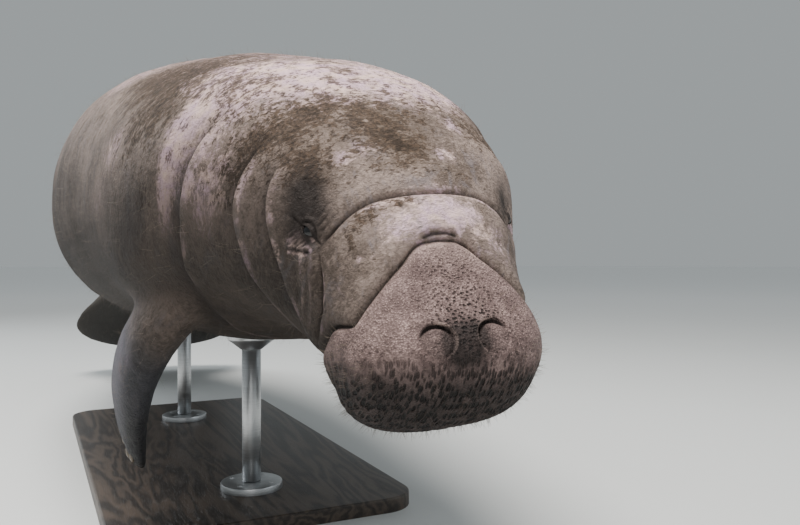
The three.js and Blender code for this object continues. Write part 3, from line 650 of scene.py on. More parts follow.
def flipper_surface(side, along, angle):
    """A flipper's skin with its markings and painted shade. The angle runs from its front edge over its outer
    face.
    """
    place, chord, outer = flipper_axes(side, along)
    beyond = np.clip((along - FLIPPER_LENGTH + FLIPPER_TIP) / FLIPPER_TIP, 0, 1)
    closing = np.sqrt(1 - beyond**2.2)
    c, s = np.cos(angle), np.sin(angle)
    x, z = flipper_chord(along) * closing * c, flipper_thick(along) * closing**0.8 * s
    points = place + chord * x[:, None] + outer * z[:, None]
    outward = unit(chord * (c / flipper_chord(along))[:, None] + outer * (s / flipper_thick(along))[:, None])
    lift = 1.1 * speckle(points, 45, 11, 2)
    dark = np.zeros(len(along))
    wrinkles = (  # along, how far it slants, depth, width
        *((66, 10, 3.4, 3.2), (92, -6, 1.4, 2.6), (104, 7, 1.0, 2.4)),
        *((118, 5, 1.4, 2.8), (150, -4, 0.8, 2.6), (205, 3, 0.7, 2.6), (352, 4, 1.2, 2.2)),
    )
    for where, slant, depth, width in wrinkles:
        off = along - where - slant * np.sin(angle + 0.6) - 2.5 * np.sin(3 * angle + where)
        share = (0.45 + 0.55 * smooth(s, -0.7, 0.5)) * closing
        lift -= share * depth * (hump(off, width) - 0.3 * hump(off, 2.6 * width))
        # painted shade in the wrinkles
        dark += 0.3 * depth / 3 * hump(off, width)
    points = points + outward * lift[:, None]
    none = np.zeros(len(along))
    # painted shade, darker towards the flipper's tip
    shaded = 0.45 * smooth(along, 120, 340)
    marks = {
        "muzzle": none,
        "lip": none,
        "net": none,
        # painted shade in the wrinkles, and a dark band near the tip
        "dark": dark + 0.5 * smooth(along, 330, 350) * (1 - 0.4 * smooth(along, 350, 400)),
        "pale": 0.3 * smooth(along, 30, 90) * (1 - smooth(along, 100, 190)) * smooth(s, -0.2, 0.8),
        "algae": 0.35 * smooth(along, 150, 330) * smooth(c, -0.4, 0.6),
        "flipper": smooth(along, 0, 90),
        "tail": none,
        # painted shade over the flipper's front and inner faces and towards its tip
        "under": np.clip(0.85 - 0.75 * smooth(s - 0.55 * c, -0.2, 1.0) * smooth(along, 0, 90) + shaded, 0, 1),
    }
    shoulder_flow = side * FLOW_SIDES * math.sin(math.radians(SHOULDER_TURN))
    down = SHOULDER_TURN * girth(SHOULDER_AT) + along
    flow = np.stack([SHOULDER_AT - x, down, shoulder_flow + FLOW_FACES * z], -1) * MM
    return points, marks, flow


# Rows of the skin: the lines that bound each stretch of the body, its rows, and how they crowd at its ends.
def line_or_place(bound, turn):
    return bound(turn) if callable(bound) else np.full(np.shape(turn), float(bound))


CHEST_FROM = 640
STRETCHES = (
    (0, nose_line, 60, "snout"),
    (nose_line, brow_line, 18, "both"),
    (brow_line, fold_lines[0], 24, "both"),
    (fold_lines[0], fold_lines[1], 18, "both"),
    (fold_lines[1], fold_lines[2], 26, "both"),
    (fold_lines[2], CHEST_FROM, 22, "start"),
    (CHEST_FROM, BODY_LENGTH, 96, "tail"),
)
ROWS = sum(rows for _, _, rows, _ in STRETCHES)


def evenly(places, widths):
    """Shares of an outline's length against shares of its places, to space rows evenly over a round end."""
    arc = np.concatenate([[0], np.cumsum(np.hypot(np.diff(places), np.diff(widths)))])
    return arc / arc[-1], (places - places[0]) / (places[-1] - places[0])


snout_places = np.linspace(0, 1, 600) ** 3 * 115
tail_places = BODY_LENGTH - np.linspace(1, 0, 900) ** 2 * (BODY_LENGTH - CHEST_FROM)
CROWDING = {
    "snout": evenly(snout_places, 0.95 * section(snout_places)[0]),
    "tail": evenly(tail_places, section(tail_places)[0]),
}


def crowd(u, kind):
    if kind == "both":
        return u - 0.66 * np.sin(2 * np.pi * u) / (2 * np.pi)
    if kind == "start":
        return mix(u, u**2, 0.66)
    return np.interp(u, *CROWDING[kind])


def places_of(grid):
    """at and angle of grid points: x from 0 to 1 runs round the body from the belly, and y counts rows."""
    angle = 2 * np.pi * grid[:, 0] - np.pi / 2
    turn = np.abs(turn_of(angle))
    at = np.zeros(len(grid))
    first = 0
    for start, end, rows, kind in STRETCHES:
        here = (grid[:, 1] >= first) & (grid[:, 1] <= first + rows)
        share = crowd((grid[here, 1] - first) / rows, kind)
        at[here] = mix(line_or_place(start, turn[here]), line_or_place(end, turn[here]), share)
        first += rows
    return at, angle


def coordinates(vertices):
    return np.array([v.co[:] for v in vertices])


def refine(bm, near):
    """Divides the edges whose ends are both near, by near(at, angle) over the grid's points."""
    chosen = near(*places_of(coordinates(bm.verts)))
    bm.verts.index_update()
    edges = [e for e in bm.edges if chosen[e.verts[0].index] and chosen[e.verts[1].index]]
    bmesh.ops.subdivide_edges(bm, edges=edges, cuts=1, use_grid_fill=True)


def around(at, turn, reach):
    """A test of which places lie within reach of a place and of its mirror image."""
    centres = [body_point(at, angle_of(side * turn)) for side in (LEFT, RIGHT)]

    def near(places, angles):
        points = body_point(places, angles)
        return np.min([np.linalg.norm(points - centre, axis=1) for centre in centres], axis=0) < reach

    return near


def on_lip(places, angles):
    points = body_point(places, angles)
    _, height = section_offsets(places, angles)
    return (places < 34) & (points[:, 2] < LIP_EDGE_HEIGHTS[1]) & (height > -70)


def on_scars(places, angles):
    turn = turn_of(angles)
    return (places > 146) & (places < 190) & (turn > -9) & (turn < 22)


def parameter_grid(columns, rows):
    """A flat grid from 0 to 1 across and 0 to rows up."""
    bm = bmesh.new()
    bmesh.ops.create_grid(bm, x_segments=columns, y_segments=rows, size=0.5)
    place = Matrix.Diagonal((1, rows, 1, 1)) @ Matrix.Translation((0.5, 0.5, 0))
    bmesh.ops.transform(bm, matrix=place, verts=bm.verts)
    return bm


UV_NAME = "OFBake"


def shape_grid(bm, name, surface, patch):
    """Makes a mesh of a grid: surface gives points and markings, patch is its rectangle of the UV map."""
    mesh = bpy.data.meshes.new(name)
    bm.to_mesh(mesh)
    bm.free()
    grid = np.empty(len(mesh.vertices) * 3)
    mesh.vertices.foreach_get("co", grid)
    grid = grid.reshape(-1, 3)
    corners = np.empty(len(mesh.loops), int)
    mesh.loops.foreach_get("vertex_index", corners)
    low, high = np.array(patch)
    share = grid[corners, :2] / np.array([1, grid[:, 1].max()])
    mesh.uv_layers.new(name=UV_NAME).data.foreach_set("uv", mix(low, high, share).ravel())
    points, marks, flow = surface(grid)
    mesh.vertices.foreach_set("co", (points * MM).ravel())
    for key, values in marks.items():
        mesh.attributes.new(key, "FLOAT", "POINT").data.foreach_set("value", np.clip(values, 0, 1.5))
    mesh.attributes.new("flow", "FLOAT_VECTOR", "POINT").data.foreach_set("vector", flow.ravel())
    bm = bmesh.new()
    bm.from_mesh(mesh)
    bmesh.ops.remove_doubles(bm, verts=bm.verts, dist=0.01 * MM)
    bmesh.ops.recalc_face_normals(bm, faces=bm.faces)
    bm.to_mesh(mesh)
    bm.free()
    return mesh


def linked_object(name, mesh):
    made = bpy.data.objects.new(name, mesh)
    bpy.context.scene.collection.objects.link(made)
    return made


EYE_RINGS, NOSTRIL_RINGS = (42, 27, 13), (32, 27)  # the skin is divided once more within each of these


def body_mesh():
    bm = parameter_grid(COLUMNS, ROWS)
    for reach in EYE_RINGS:
        refine(bm, around(EYE_AT, EYE_TURN, reach))
    for reach in NOSTRIL_RINGS:
        refine(bm, around(NOSTRIL_AT, NOSTRIL_TURN, reach))
    refine(bm, on_lip)
    refine(bm, on_scars)
    return shape_grid(bm, "body", lambda grid: skin_surface(*places_of(grid)), ((0.01, 0.01), (0.99, 0.87)))


def flipper_mesh(side):
    bm = parameter_grid(FLIPPER_COLUMNS, FLIPPER_ROWS)
    first = FLIPPER_SECTIONS[0][0]
    places = np.linspace(first, FLIPPER_LENGTH, 400)
    beyond = np.clip((places - FLIPPER_LENGTH + FLIPPER_TIP) / FLIPPER_TIP, 0, 1)
    spacing = evenly(places, flipper_chord(places) * np.sqrt(1 - beyond**2.2))

    def surface(grid):
        along = mix(first, FLIPPER_LENGTH, np.interp(grid[:, 1] / FLIPPER_ROWS, *spacing))
        return flipper_surface(side, along, 2 * np.pi * grid[:, 0])

    left = 0.01 if side == LEFT else 0.51
    mesh = shape_grid(bm, f"flipper_{side}", surface, ((left, 0.89), (left + 0.48, 0.99)))
    bm = bmesh.new()
    bm.from_mesh(mesh)
    bmesh.ops.holes_fill(bm, edges=[e for e in bm.edges if e.is_boundary])
    bmesh.ops.recalc_face_normals(bm, faces=bm.faces)
    bm.to_mesh(mesh)
    bm.free()
    return mesh


def evaluated_mesh(obj):
    depsgraph = bpy.context.evaluated_depsgraph_get()
    return bpy.data.meshes.new_from_object(obj.evaluated_get(depsgraph))


def point_values(mesh, name):
    values = np.empty(len(mesh.vertices), np.float32)
    mesh.attributes[name].data.foreach_get("value", values)
    return values


def point_places(mesh):
    places = np.empty(len(mesh.vertices) * 3, np.float32)
    mesh.vertices.foreach_get("co", places)
    return places.reshape(-1, 3).astype(float)


def flow_values(mesh):
    flow = np.empty(len(mesh.vertices) * 3, np.float32)
    mesh.attributes["flow"].data.foreach_get("vector", flow)
    return flow.reshape(-1, 3)


def soften_roots(mesh, reach, rounds):
    """Smooths the skin, its markings and its painted shade and highlights near the lines where the flippers
    leave the body.
    """
    ends = np.empty(len(mesh.edges) * 2, np.int32)
    mesh.edges.foreach_get("vertices", ends)
    ends = ends.reshape(-1, 2)
    places, flow = point_places(mesh), flow_values(mesh)
    names = [a.name for a in mesh.attributes if a.domain == "POINT" and a.data_type == "FLOAT"]
    values = np.column_stack([places, flow, *(point_values(mesh, name) for name in names)])

    def neighbours_mean(weight):
        total = np.zeros_like(values)
        for one, other in ((ends[:, 0], ends[:, 1]), (ends[:, 1], ends[:, 0])):
            for k in range(values.shape[1]):
                total[:, k] += np.bincount(one, values[other, k] * weight[other], len(values))
        count = sum(np.bincount(ends[:, k], weight[ends[:, 1 - k]], len(values)) for k in (0, 1))
        return total / np.maximum(count, 1e-9)[:, None], count > 0

    seam = ~np.any(flow, axis=1)  # the union leaves the points it makes without markings
    missing = seam.copy()
    for _ in range(4):
        mean, has = neighbours_mean((~missing).astype(float))
        filled = missing & has
        values[filled, 3:] = mean[filled, 3:]
        missing &= ~filled
    seam_places = places[seam]
    low, high = seam_places.min(0) - reach, seam_places.max(0) + reach
    near = np.flatnonzero(np.all((places > low) & (places < high), axis=1))
    gap = np.array([np.min(np.linalg.norm(seam_places - places[i], axis=1)) for i in near])
    share = np.zeros(len(places))
    share[near] = 0.5 * (1 - smooth(gap, 0, reach))
    for _ in range(rounds):
        values += share[:, None] * (neighbours_mean(np.ones(len(values)))[0] - values)
    mesh.vertices.foreach_set("co", values[:, :3].ravel())
    mesh.attributes["flow"].data.foreach_set("vector", values[:, 3:6].ravel())
    for k, name in enumerate(names):
        mesh.attributes[name].data.foreach_set("value", values[:, 6 + k].copy())
    mesh.update()


ROOT_REACH, ROOT_ROUNDS = 48, 40  # how far round a flipper's root the skin is smoothed, and how often


def joined_skin():
    """The body with both flippers grown out of it, in one surface."""
    skin = linked_object("skin", body_mesh())
    for side in (LEFT, RIGHT):
        flipper = linked_object("flipper", flipper_mesh(side))
        union = skin.modifiers.new("flipper", "BOOLEAN")
        union.operation = "UNION"
        union.solver = "MANIFOLD"
        union.object = flipper
        joined = evaluated_mesh(skin)
        skin.modifiers.clear()
        skin.data = joined
        bpy.data.objects.remove(flipper)
    soften_roots(skin.data, ROOT_REACH * MM, ROOT_ROUNDS)
    skin.data.shade_smooth()
    return skin


def skin_piece():
    if "skin" not in bpy.data.objects:
        raise RuntimeError("the skin has to be built first")
    return bpy.data.objects["skin"]


# Materials.


class Paint:
    """A material with its nodes, and short ways to add and join them."""

    def __init__(self, name):
        self.material = bpy.data.materials.new(name)
        self.material.use_nodes = True
        self.tree = self.material.node_tree
        self.shader = self.tree.nodes["Principled BSDF"]
        self.place = self.add("TexCoord").outputs["Object"]

    def add(self, kind, sockets=None, **settings):
        made = self.tree.nodes.new("ShaderNode" + kind)
        for key, value in settings.items():
            setattr(made, key, value)
        for key, value in (sockets or {}).items():
            self.feed(made.inputs[key], value)
        return made

    def feed(self, socket, value):
        if isinstance(value, bpy.types.NodeSocket):
            self.tree.links.new(value, socket)
        else:
            socket.default_value = value

    def value(self, name):
        return self.add("Attribute", attribute_name=name).outputs["Fac"]

    def stretched(self, place, scale):
        return self.add("Mapping", {"Vector": place, "Scale": scale}).outputs["Vector"]

    def noise(self, place, scale, detail=4.0, rough=0.6, twist=0.0):
        sockets = {"Vector": place, "Scale": scale, "Detail": detail, "Roughness": rough, "Distortion": twist}
        return self.add("TexNoise", sockets).outputs["Fac"]

    def cells(self, place, scale, feature="DISTANCE_TO_EDGE", jitter=1.0):
        values = {"Vector": place, "Scale": scale, "Randomness": jitter}
        made = self.add("TexVoronoi", values, feature=feature)
        return made.outputs["Distance"]

    def math(self, operation, *values):
        made = self.add("Math", operation=operation)
        for socket, value in zip(made.inputs, values):
            self.feed(socket, value)
        return made.outputs[0]

    def times(self, *values):
        total = values[0]
        for value in values[1:]:
            total = self.math("MULTIPLY", total, value)
        return total

    def plus(self, *values):
        total = values[0]
        for value in values[1:]:
            total = self.math("ADD", total, value)
        return total

    def step(self, value, low, high, start=0.0, end=1.0):
        """Rises smoothly from start to end as the value goes from low to high."""
        sockets = {0: value, 1: low, 2: high, 3: start, 4: end}
        made = self.add("MapRange", interpolation_type="SMOOTHSTEP")
        for index, one in sockets.items():
            self.feed(made.inputs[index], one)
        return made.outputs[0]

    def blend(self, share, first, second, way="MIX"):
        made = self.add("Mix", data_type="RGBA", blend_type=way, clamp_factor=True)
        for index, value in ((0, share), (6, first), (7, second)):
            single = isinstance(value, (float, bpy.types.NodeSocket))
            self.feed(made.inputs[index], value if single else (*value, 1))
        return made.outputs[2]

    def finish(self, colour, height, rough):
        bump = self.add("Bump", {"Height": height, "Distance": 1.0, "Strength": 1.0})
        self.feed(self.shader.inputs["Base Color"], colour)
        self.feed(self.shader.inputs["Roughness"], rough)
        self.tree.links.new(bump.outputs["Normal"], self.shader.inputs["Normal"])
        return self.material


HIDE_SHEEN = 0.2  # low, so that the hide stays dull where it is seen along its surface


def hide_material(look):
    paint = Paint("manatee_hide")
    place, flow = paint.place, paint.add("Attribute", attribute_name="flow").outputs["Vector"]
    names = "muzzle", "lip", "net", "dark", "pale", "algae", "flipper", "tail", "under"
    marks = {name: paint.value(name) for name in names}
    muzzle, lip, dark, pale, algae = (marks[name] for name in ("muzzle", "lip", "dark", "pale", "algae"))
    body = paint.math("SUBTRACT", 1.0, muzzle)

    broad = paint.noise(place, 7, 3, 0.55, 0.4)
    middle = paint.noise(place, 38, 5, 0.65, 0.3)
    fine = paint.noise(place, 210, 4, 0.7)
    streaks = paint.noise(paint.stretched(flow, (270, 95, 1)), 1, 4, 0.78, 0.5)
    clusters = paint.noise(paint.stretched(flow, (62, 22, 1)), 1, 3, 0.6, 0.6)
    long_streaks = paint.noise(paint.stretched(flow, (38, 7, 1)), 1, 4, 0.6, 0.8)

    # clean skin
    tone = paint.plus(paint.times(broad, 0.35), paint.times(middle, 0.3))
    tone = paint.plus(tone, paint.times(fine, 0.3), paint.times(streaks, 0.35))
    colour = paint.blend(paint.step(tone, 0.54, 0.76), look.hide_dark, look.hide_light)
    colour = paint.blend(paint.times(paint.step(long_streaks, 0.52, 0.72), 0.45, body), colour, look.lavender)

    # pale scuffed skin and scars, and painted highlights along the edges of rolls and creases
    scuffs = paint.plus(pale, paint.times(paint.plus(streaks, -0.5), -2.2))
    scuffs = paint.plus(scuffs, paint.times(paint.plus(clusters, -0.5), 0.9))
    scuffs = paint.times(paint.step(scuffs, 0.12, 0.85), paint.step(pale, 0.02, 0.3))
    pale_tone = paint.blend(paint.step(middle, 0.35, 0.65), look.pale, look.lavender_pale)
    colour = paint.blend(paint.times(scuffs, 0.9), colour, pale_tone)

    # brown algae in short streaks over the back, thin on the flanks
    patchy = paint.times(paint.plus(long_streaks, -0.5), 1.6)
    patchy = paint.plus(patchy, paint.times(paint.plus(clusters, -0.5), 1.5))
    cover = paint.plus(algae, patchy)
    grown = paint.times(paint.step(algae, 0.03, 0.3), body)
    colour = paint.blend(paint.times(paint.step(cover, 0.1, 1.1), 0.42, grown), colour, look.algae_light)
    growth = paint.plus(paint.times(cover, 0.24), streaks)
    flecks = paint.times(paint.step(growth, 0.63, 0.7), grown)
    grime = paint.blend(paint.step(fine, 0.35, 0.7), look.algae_dark, look.algae)
    colour = paint.blend(paint.times(flecks, 0.8), colour, grime)
    colour = paint.blend(paint.times(paint.step(growth, 0.76, 0.86), 0.8, grown), colour, look.algae_dark)
    clumps = paint.step(paint.cells(place, 26, "F1"), 0.13, 0.04)
    clumps = paint.times(clumps, paint.step(paint.plus(algae, middle), 1.05, 1.35), body)
    colour = paint.blend(paint.times(clumps, 0.85), colour, look.algae_dark)

    # the lip pad: pinkish ridges round dark hair pits, drawn out into slits along the lower edge
    warped = paint.add("VectorMath", operation="ADD")
    jitter = paint.add("TexNoise", {"Vector": place, "Scale": 160.0, "Detail": 2.0}).outputs["Color"]
    shift = paint.add("VectorMath", {"Scale": 0.0024}, operation="SCALE")
    paint.feed(shift.inputs[0], jitter)
    paint.feed(warped.inputs[0], place)
    paint.feed(warped.inputs[1], shift.outputs[0])
    warped = warped.outputs[0]
    drawn_out = paint.step(lip, 0.0, 0.6)
    rounded = paint.math("SUBTRACT", 1.0, drawn_out)
    round_pits = paint.cells(paint.stretched(warped, (225, 225, 250)), 1, "F1")
    specks = paint.cells(paint.stretched(warped, (430, 430, 480)), 1, "F1")
    slits = paint.cells(paint.stretched(warped, (300, 78, 78)), 1, "F1", 0.6)
    pits = paint.plus(
        paint.times(paint.step(round_pits, 0.5, 0.16), rounded),
        paint.times(paint.step(slits, 0.56, 0.22), drawn_out),
    )
    fine_pits = paint.step(specks, 0.38, 0.7)
    pad_tone = paint.step(paint.plus(middle, paint.times(fine, 0.5)), 0.6, 0.95)
    pad = paint.blend(pad_tone, look.muzzle_dark, look.muzzle_light)
    pad = paint.blend(paint.times(paint.step(specks, 0.3, 0.08), 0.46, rounded), pad, look.pale)
    pad = paint.blend(paint.times(fine_pits, 0.75, rounded), pad, look.muzzle_dark)
    # pale nostril rims and scars, and the painted highlight along the nose crease
    pad = paint.blend(paint.times(paint.step(pale, 0.1, 1.3), 0.85), pad, look.pale)
    open_pits = paint.times(pits, marks["net"], paint.step(pale, 0.9, 0.3))
    pad = paint.blend(open_pits, pad, look.net)
    lip_share = paint.times(paint.step(lip, 0.1, 1.0), paint.plus(0.84, paint.times(pits, 0.16)))
    pad = paint.blend(lip_share, pad, look.lip)
    colour = paint.blend(muzzle, colour, pad)

    # flippers and tail
    flipper_tone = paint.blend(paint.step(tone, 0.4, 0.7), look.flipper_dark, look.flipper_light)
    colour = paint.blend(paint.times(marks["flipper"], 0.8), colour, flipper_tone)
    colour = paint.blend(paint.times(marks["tail"], paint.step(tone, 0.3, 0.8), 0.75), colour, look.tail)
    # painted shade: the skin is multiplied darker towards the belly and over the flippers' shaded faces
    colour = paint.blend(paint.times(marks["under"], 0.96), colour, look.under, "MULTIPLY")

    # cracks, and painted shade in folds, creases, grooves and sockets
    crackle = paint.step(paint.cells(warped, 150), 0.1, 0.015)
    cracked = paint.times(crackle, paint.step(middle, 0.45, 0.7), 0.25, body)
    colour = paint.blend(cracked, colour, look.algae_dark)
    colour = paint.blend(paint.math("MINIMUM", paint.times(dark, 0.86), 0.9), colour, look.shade)

    # heights in metres
    pores = paint.times(paint.cells(place, 330, "F1"), 0.00035)
    wrinkles = paint.noise(paint.stretched(flow, (230, 80, 1)), 1, 4, 0.6, 0.9)
    ridged = paint.math("ABSOLUTE", paint.plus(wrinkles, -0.5))
    hide_height = paint.plus(
        paint.times(ridged, 0.0045),
        paint.times(paint.noise(place, 95, 5, 0.62), 0.0042),
        paint.times(pores, -1.2),
        paint.times(crackle, -0.0002),
        paint.times(flecks, 0.0005),
        paint.times(clumps, 0.002),
    )
    pad_height = paint.plus(
        paint.times(pits, paint.plus(paint.times(marks["net"], -0.0022), -0.0003)),
        paint.times(pits, paint.times(lip, -0.002)),
        paint.times(specks, -0.0011),
        paint.times(fine, 0.0012),
    )
    height = paint.plus(paint.times(hide_height, body), paint.times(pad_height, muzzle))
    rough = paint.plus(0.6, paint.times(fine, 0.2), paint.times(flecks, 0.12))
    rough = paint.plus(rough, paint.times(marks["flipper"], -0.06))
    paint.shader.inputs["Specular IOR Level"].default_value = HIDE_SHEEN
    return paint.finish(colour, height, rough)


def eye_material(look, way, centre):
    """Brown iris round a black pupil. way points out of the eye."""
    paint = Paint("wet_eye")
    from_centre = paint.add("VectorMath", operation="SUBTRACT")
    paint.feed(from_centre.inputs[0], paint.place)
    paint.feed(from_centre.inputs[1], centre)
    ahead = paint.add("VectorMath", operation="DOT_PRODUCT")
    direction = paint.add("VectorMath", operation="NORMALIZE")
    paint.feed(direction.inputs[0], from_centre.outputs[0])
    paint.feed(ahead.inputs[0], direction.outputs[0])
    paint.feed(ahead.inputs[1], way)
    facing = ahead.outputs["Value"]
    threads = paint.noise(paint.place, 900, 5, 0.7)
    iris = paint.blend(threads, look.iris_dark, look.iris_light)
    colour = paint.blend(paint.step(facing, 0.87, 0.9), iris, (0.004, 0.004, 0.005))
    colour = paint.blend(paint.step(facing, 0.62, 0.55), colour, (0.03, 0.022, 0.02))
    paint.shader.inputs["Coat Weight"].default_value = 0.35
    paint.shader.inputs["Coat Roughness"].default_value = 0.05
    paint.shader.inputs["Specular IOR Level"].default_value = 0.3
    return paint.finish(colour, paint.times(threads, 0.00005), paint.plus(0.12, paint.times(threads, 0.1)))


def nail_material(look):
    paint = Paint("horn_nail")
    grain = paint.noise(paint.stretched(paint.place, (900, 250, 250)), 1, 4, 0.6)
    blotches = paint.noise(paint.place, 220, 3, 0.6)
    colour = paint.blend(paint.step(grain, 0.35, 0.7), look.nail_dark, look.nail_light)
    colour = paint.blend(paint.times(paint.step(blotches, 0.5, 0.7), 0.5), colour, look.algae_dark)
    return paint.finish(colour, paint.times(grain, 0.0006), paint.plus(0.32, paint.times(blotches, 0.3)))


def hair_material(name, light, dark):
    paint = Paint(name)
    tone = paint.value("tone")
    speck = paint.noise(paint.place, 400, 2, 0.5)
    colour = paint.blend(paint.plus(paint.times(tone, 0.8), paint.times(speck, 0.3)), light, dark)
    return paint.finish(colour, paint.times(speck, 0.00002), paint.plus(0.45, paint.times(speck, 0.2)))


def steel_material(stand):
    """Rods brushed round their length."""
    paint = Paint("brushed_steel")
    brushed = paint.noise(paint.stretched(paint.place, (14, 14, 2600)), 1, 3, 0.6)
    smudges = paint.noise(paint.place, 14, 4, 0.6)
    colour = paint.blend(paint.step(brushed, 0.3, 0.75), stand.steel_dark, stand.steel)
    paint.shader.inputs["Metallic"].default_value = 1.0
    rough = paint.plus(0.24, paint.times(brushed, 0.12), paint.times(smudges, 0.14))
    return paint.finish(colour, paint.times(brushed, 0.00006), rough)


def board_material(stand):
    """Dark stained wood with its grain along the board."""
    paint = Paint("stained_board")
    bent = paint.noise(paint.stretched(paint.place, (5, 0.7, 5)), 1, 4, 0.55, 0.6)
    rings = paint.math("SINE", paint.plus(paint.times(bent, 95.0), 0.0))
    grain = paint.noise(paint.stretched(paint.place, (330, 9, 330)), 1, 4, 0.65)
    pores = paint.step(paint.noise(paint.stretched(paint.place, (1100, 45, 1100)), 1, 2, 0.5), 0.6, 0.68)
    tone = paint.plus(paint.times(rings, 0.22), paint.times(grain, 0.7), 0.05)
    colour = paint.blend(paint.step(tone, 0.1, 0.75), stand.board_dark, stand.board)
    colour = paint.blend(paint.times(pores, 0.6), colour, stand.board_dark)
    height = paint.plus(paint.times(grain, 0.00022), paint.times(pores, -0.00025))
    return paint.finish(colour, height, paint.plus(0.34, paint.times(grain, 0.18)))


def rubber_material():
    paint = Paint("black_rubber")
    speck = paint.noise(paint.place, 700, 3, 0.6)
    colour = paint.blend(speck, (0.012, 0.012, 0.013), (0.035, 0.034, 0.033))
    return paint.finish(colour, paint.times(speck, 0.0003), paint.plus(0.7, paint.times(speck, 0.15)))


def floor_material(stage):
    paint = Paint("pale_floor")
    cloudy = paint.noise(paint.place, 1.3, 4, 0.5)
    speck = paint.noise(paint.place, 160, 3, 0.6)
    darker = tuple(0.955 * c for c in stage.floor)
    colour = paint.blend(cloudy, darker, tuple(stage.floor))
    distance = paint.add("VectorMath", operation="LENGTH")
    paint.feed(distance.inputs[0], paint.place)
    # painted light: the floor grows paler towards the horizon, where the lamps light it less
    colour = paint.blend(paint.step(distance.outputs["Value"], 2.5, 9.0), colour, stage.floor_far_painted_light)
    return paint.finish(colour, paint.times(speck, 0.0001), paint.plus(0.6, paint.times(speck, 0.1)))


# Pieces.


def place_piece(piece, nodes, materials):
    piece.data.materials.clear()
    for material in materials:
        piece.data.materials.append(material)
    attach(piece, "root")
    if nodes:
        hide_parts(*nodes)
    return piece


def mesh_piece(name, bm, nodes, material, smooth_angle=None):
    bmesh.ops.recalc_face_normals(bm, faces=bm.faces)
    mesh = bpy.data.meshes.new(name)
    bm.to_mesh(mesh)
    bm.free()
    mesh.shade_smooth()
    if smooth_angle is not None:
        mesh.set_sharp_from_angle(angle=smooth_angle)
    return place_piece(linked_object(name, mesh), nodes, [material])


def axes_matrix(point, x, y, z):
    """A matrix that carries metres along x, y and z to a place given in millimetres."""
    matrix = Matrix(np.stack([x, y, z], -1).tolist()).to_4x4()
    matrix.translation = Vector(point) * MM
    return matrix


def eye_piece(side, look):
    point, across, along, normal = skin_axes(EYE_AT, side * EYE_TURN)
    centre = point - EYE_SUNK * normal
    bm = bmesh.new()
    bmesh.ops.create_uvsphere(bm, u_segments=48, v_segments=32, radius=EYE_RADIUS * MM)
    cornea_reach, cornea_height = 0.75, 0.9 * MM
    for v in bm.verts:
        out = v.co.z / (EYE_RADIUS * MM)
        v.co.z += cornea_height * float(smooth(out, cornea_reach, 1.0))
    bmesh.ops.transform(bm, matrix=axes_matrix(centre, across, along, normal), verts=bm.verts)
    material = eye_material(look, tuple(normal), tuple(centre * MM))
    name = SIDE_NAMES[side]
    return mesh_piece(f"eyeball_{name}", bm, [f"eye_{name}"], material)


def nail_places(side):
    """The place and the sideways, long and outward directions of each nail of a flipper."""
    for i in range(NAIL_COUNT):
        along = FLIPPER_LENGTH - 12 - 13 * abs(i - 1) - 5 * i
        angle = math.radians(128 - 26 * i)
        _, chord, outer = flipper_axes(side, np.array([float(along)]))
        points, _, _ = flipper_surface(side, np.array([float(along)]), np.array([angle]))
        ahead = side * np.cross(outer[0], chord[0])
        yield i + 1, points[0], np.cross(ahead, outer[0]), ahead, outer[0]


def nail_pieces(side, look, size):
    material = nail_material(look)
    name = SIDE_NAMES[side]
    for number, point, sideways, ahead, outer in nail_places(side):
        bm = bmesh.new()
        bmesh.ops.create_uvsphere(bm, u_segments=28, v_segments=18, radius=1)
        bmesh.ops.rotate(bm, matrix=Matrix.Rotation(math.pi / 2, 3, "X"), verts=bm.verts)
        for v in bm.verts:
            narrow = 1 - 0.22 * max(v.co.y, 0) ** 2 + 0.06 * v.co.y
            ridge = 1 + 0.05 * math.cos(14 * v.co.x)
            v.co = (
                v.co.x * narrow * size.nail_width / 2,
                v.co.y * size.nail_length / 2,
                v.co.z * ridge * size.nail_thickness / 2 - 0.0012 * v.co.y**2,
            )
        bmesh.ops.transform(bm, matrix=axes_matrix(point, sideways, ahead, outer), verts=bm.verts)
        mesh_piece(f"claw_{name}_{number}", bm, [f"nail_{name}_{number}"], material)


def strand_shape():
    """One thin three-sided hair, of unit length and radius, pointed at its end."""
    bm = bmesh.new()
    bmesh.ops.create_cone(bm, cap_ends=True, segments=3, radius1=1, radius2=0.15, depth=1)
    bmesh.ops.translate(bm, vec=(0, 0, 0.5), verts=bm.verts)
    for height in (0.35, 0.7):
        parts = [*bm.verts, *bm.edges, *bm.faces]
        bmesh.ops.bisect_plane(bm, geom=parts, plane_co=(0, 0, height), plane_no=(0, 0, 1))
    mesh = bpy.data.meshes.new("strand")
    bm.to_mesh(mesh)
    bm.free()
    return mesh


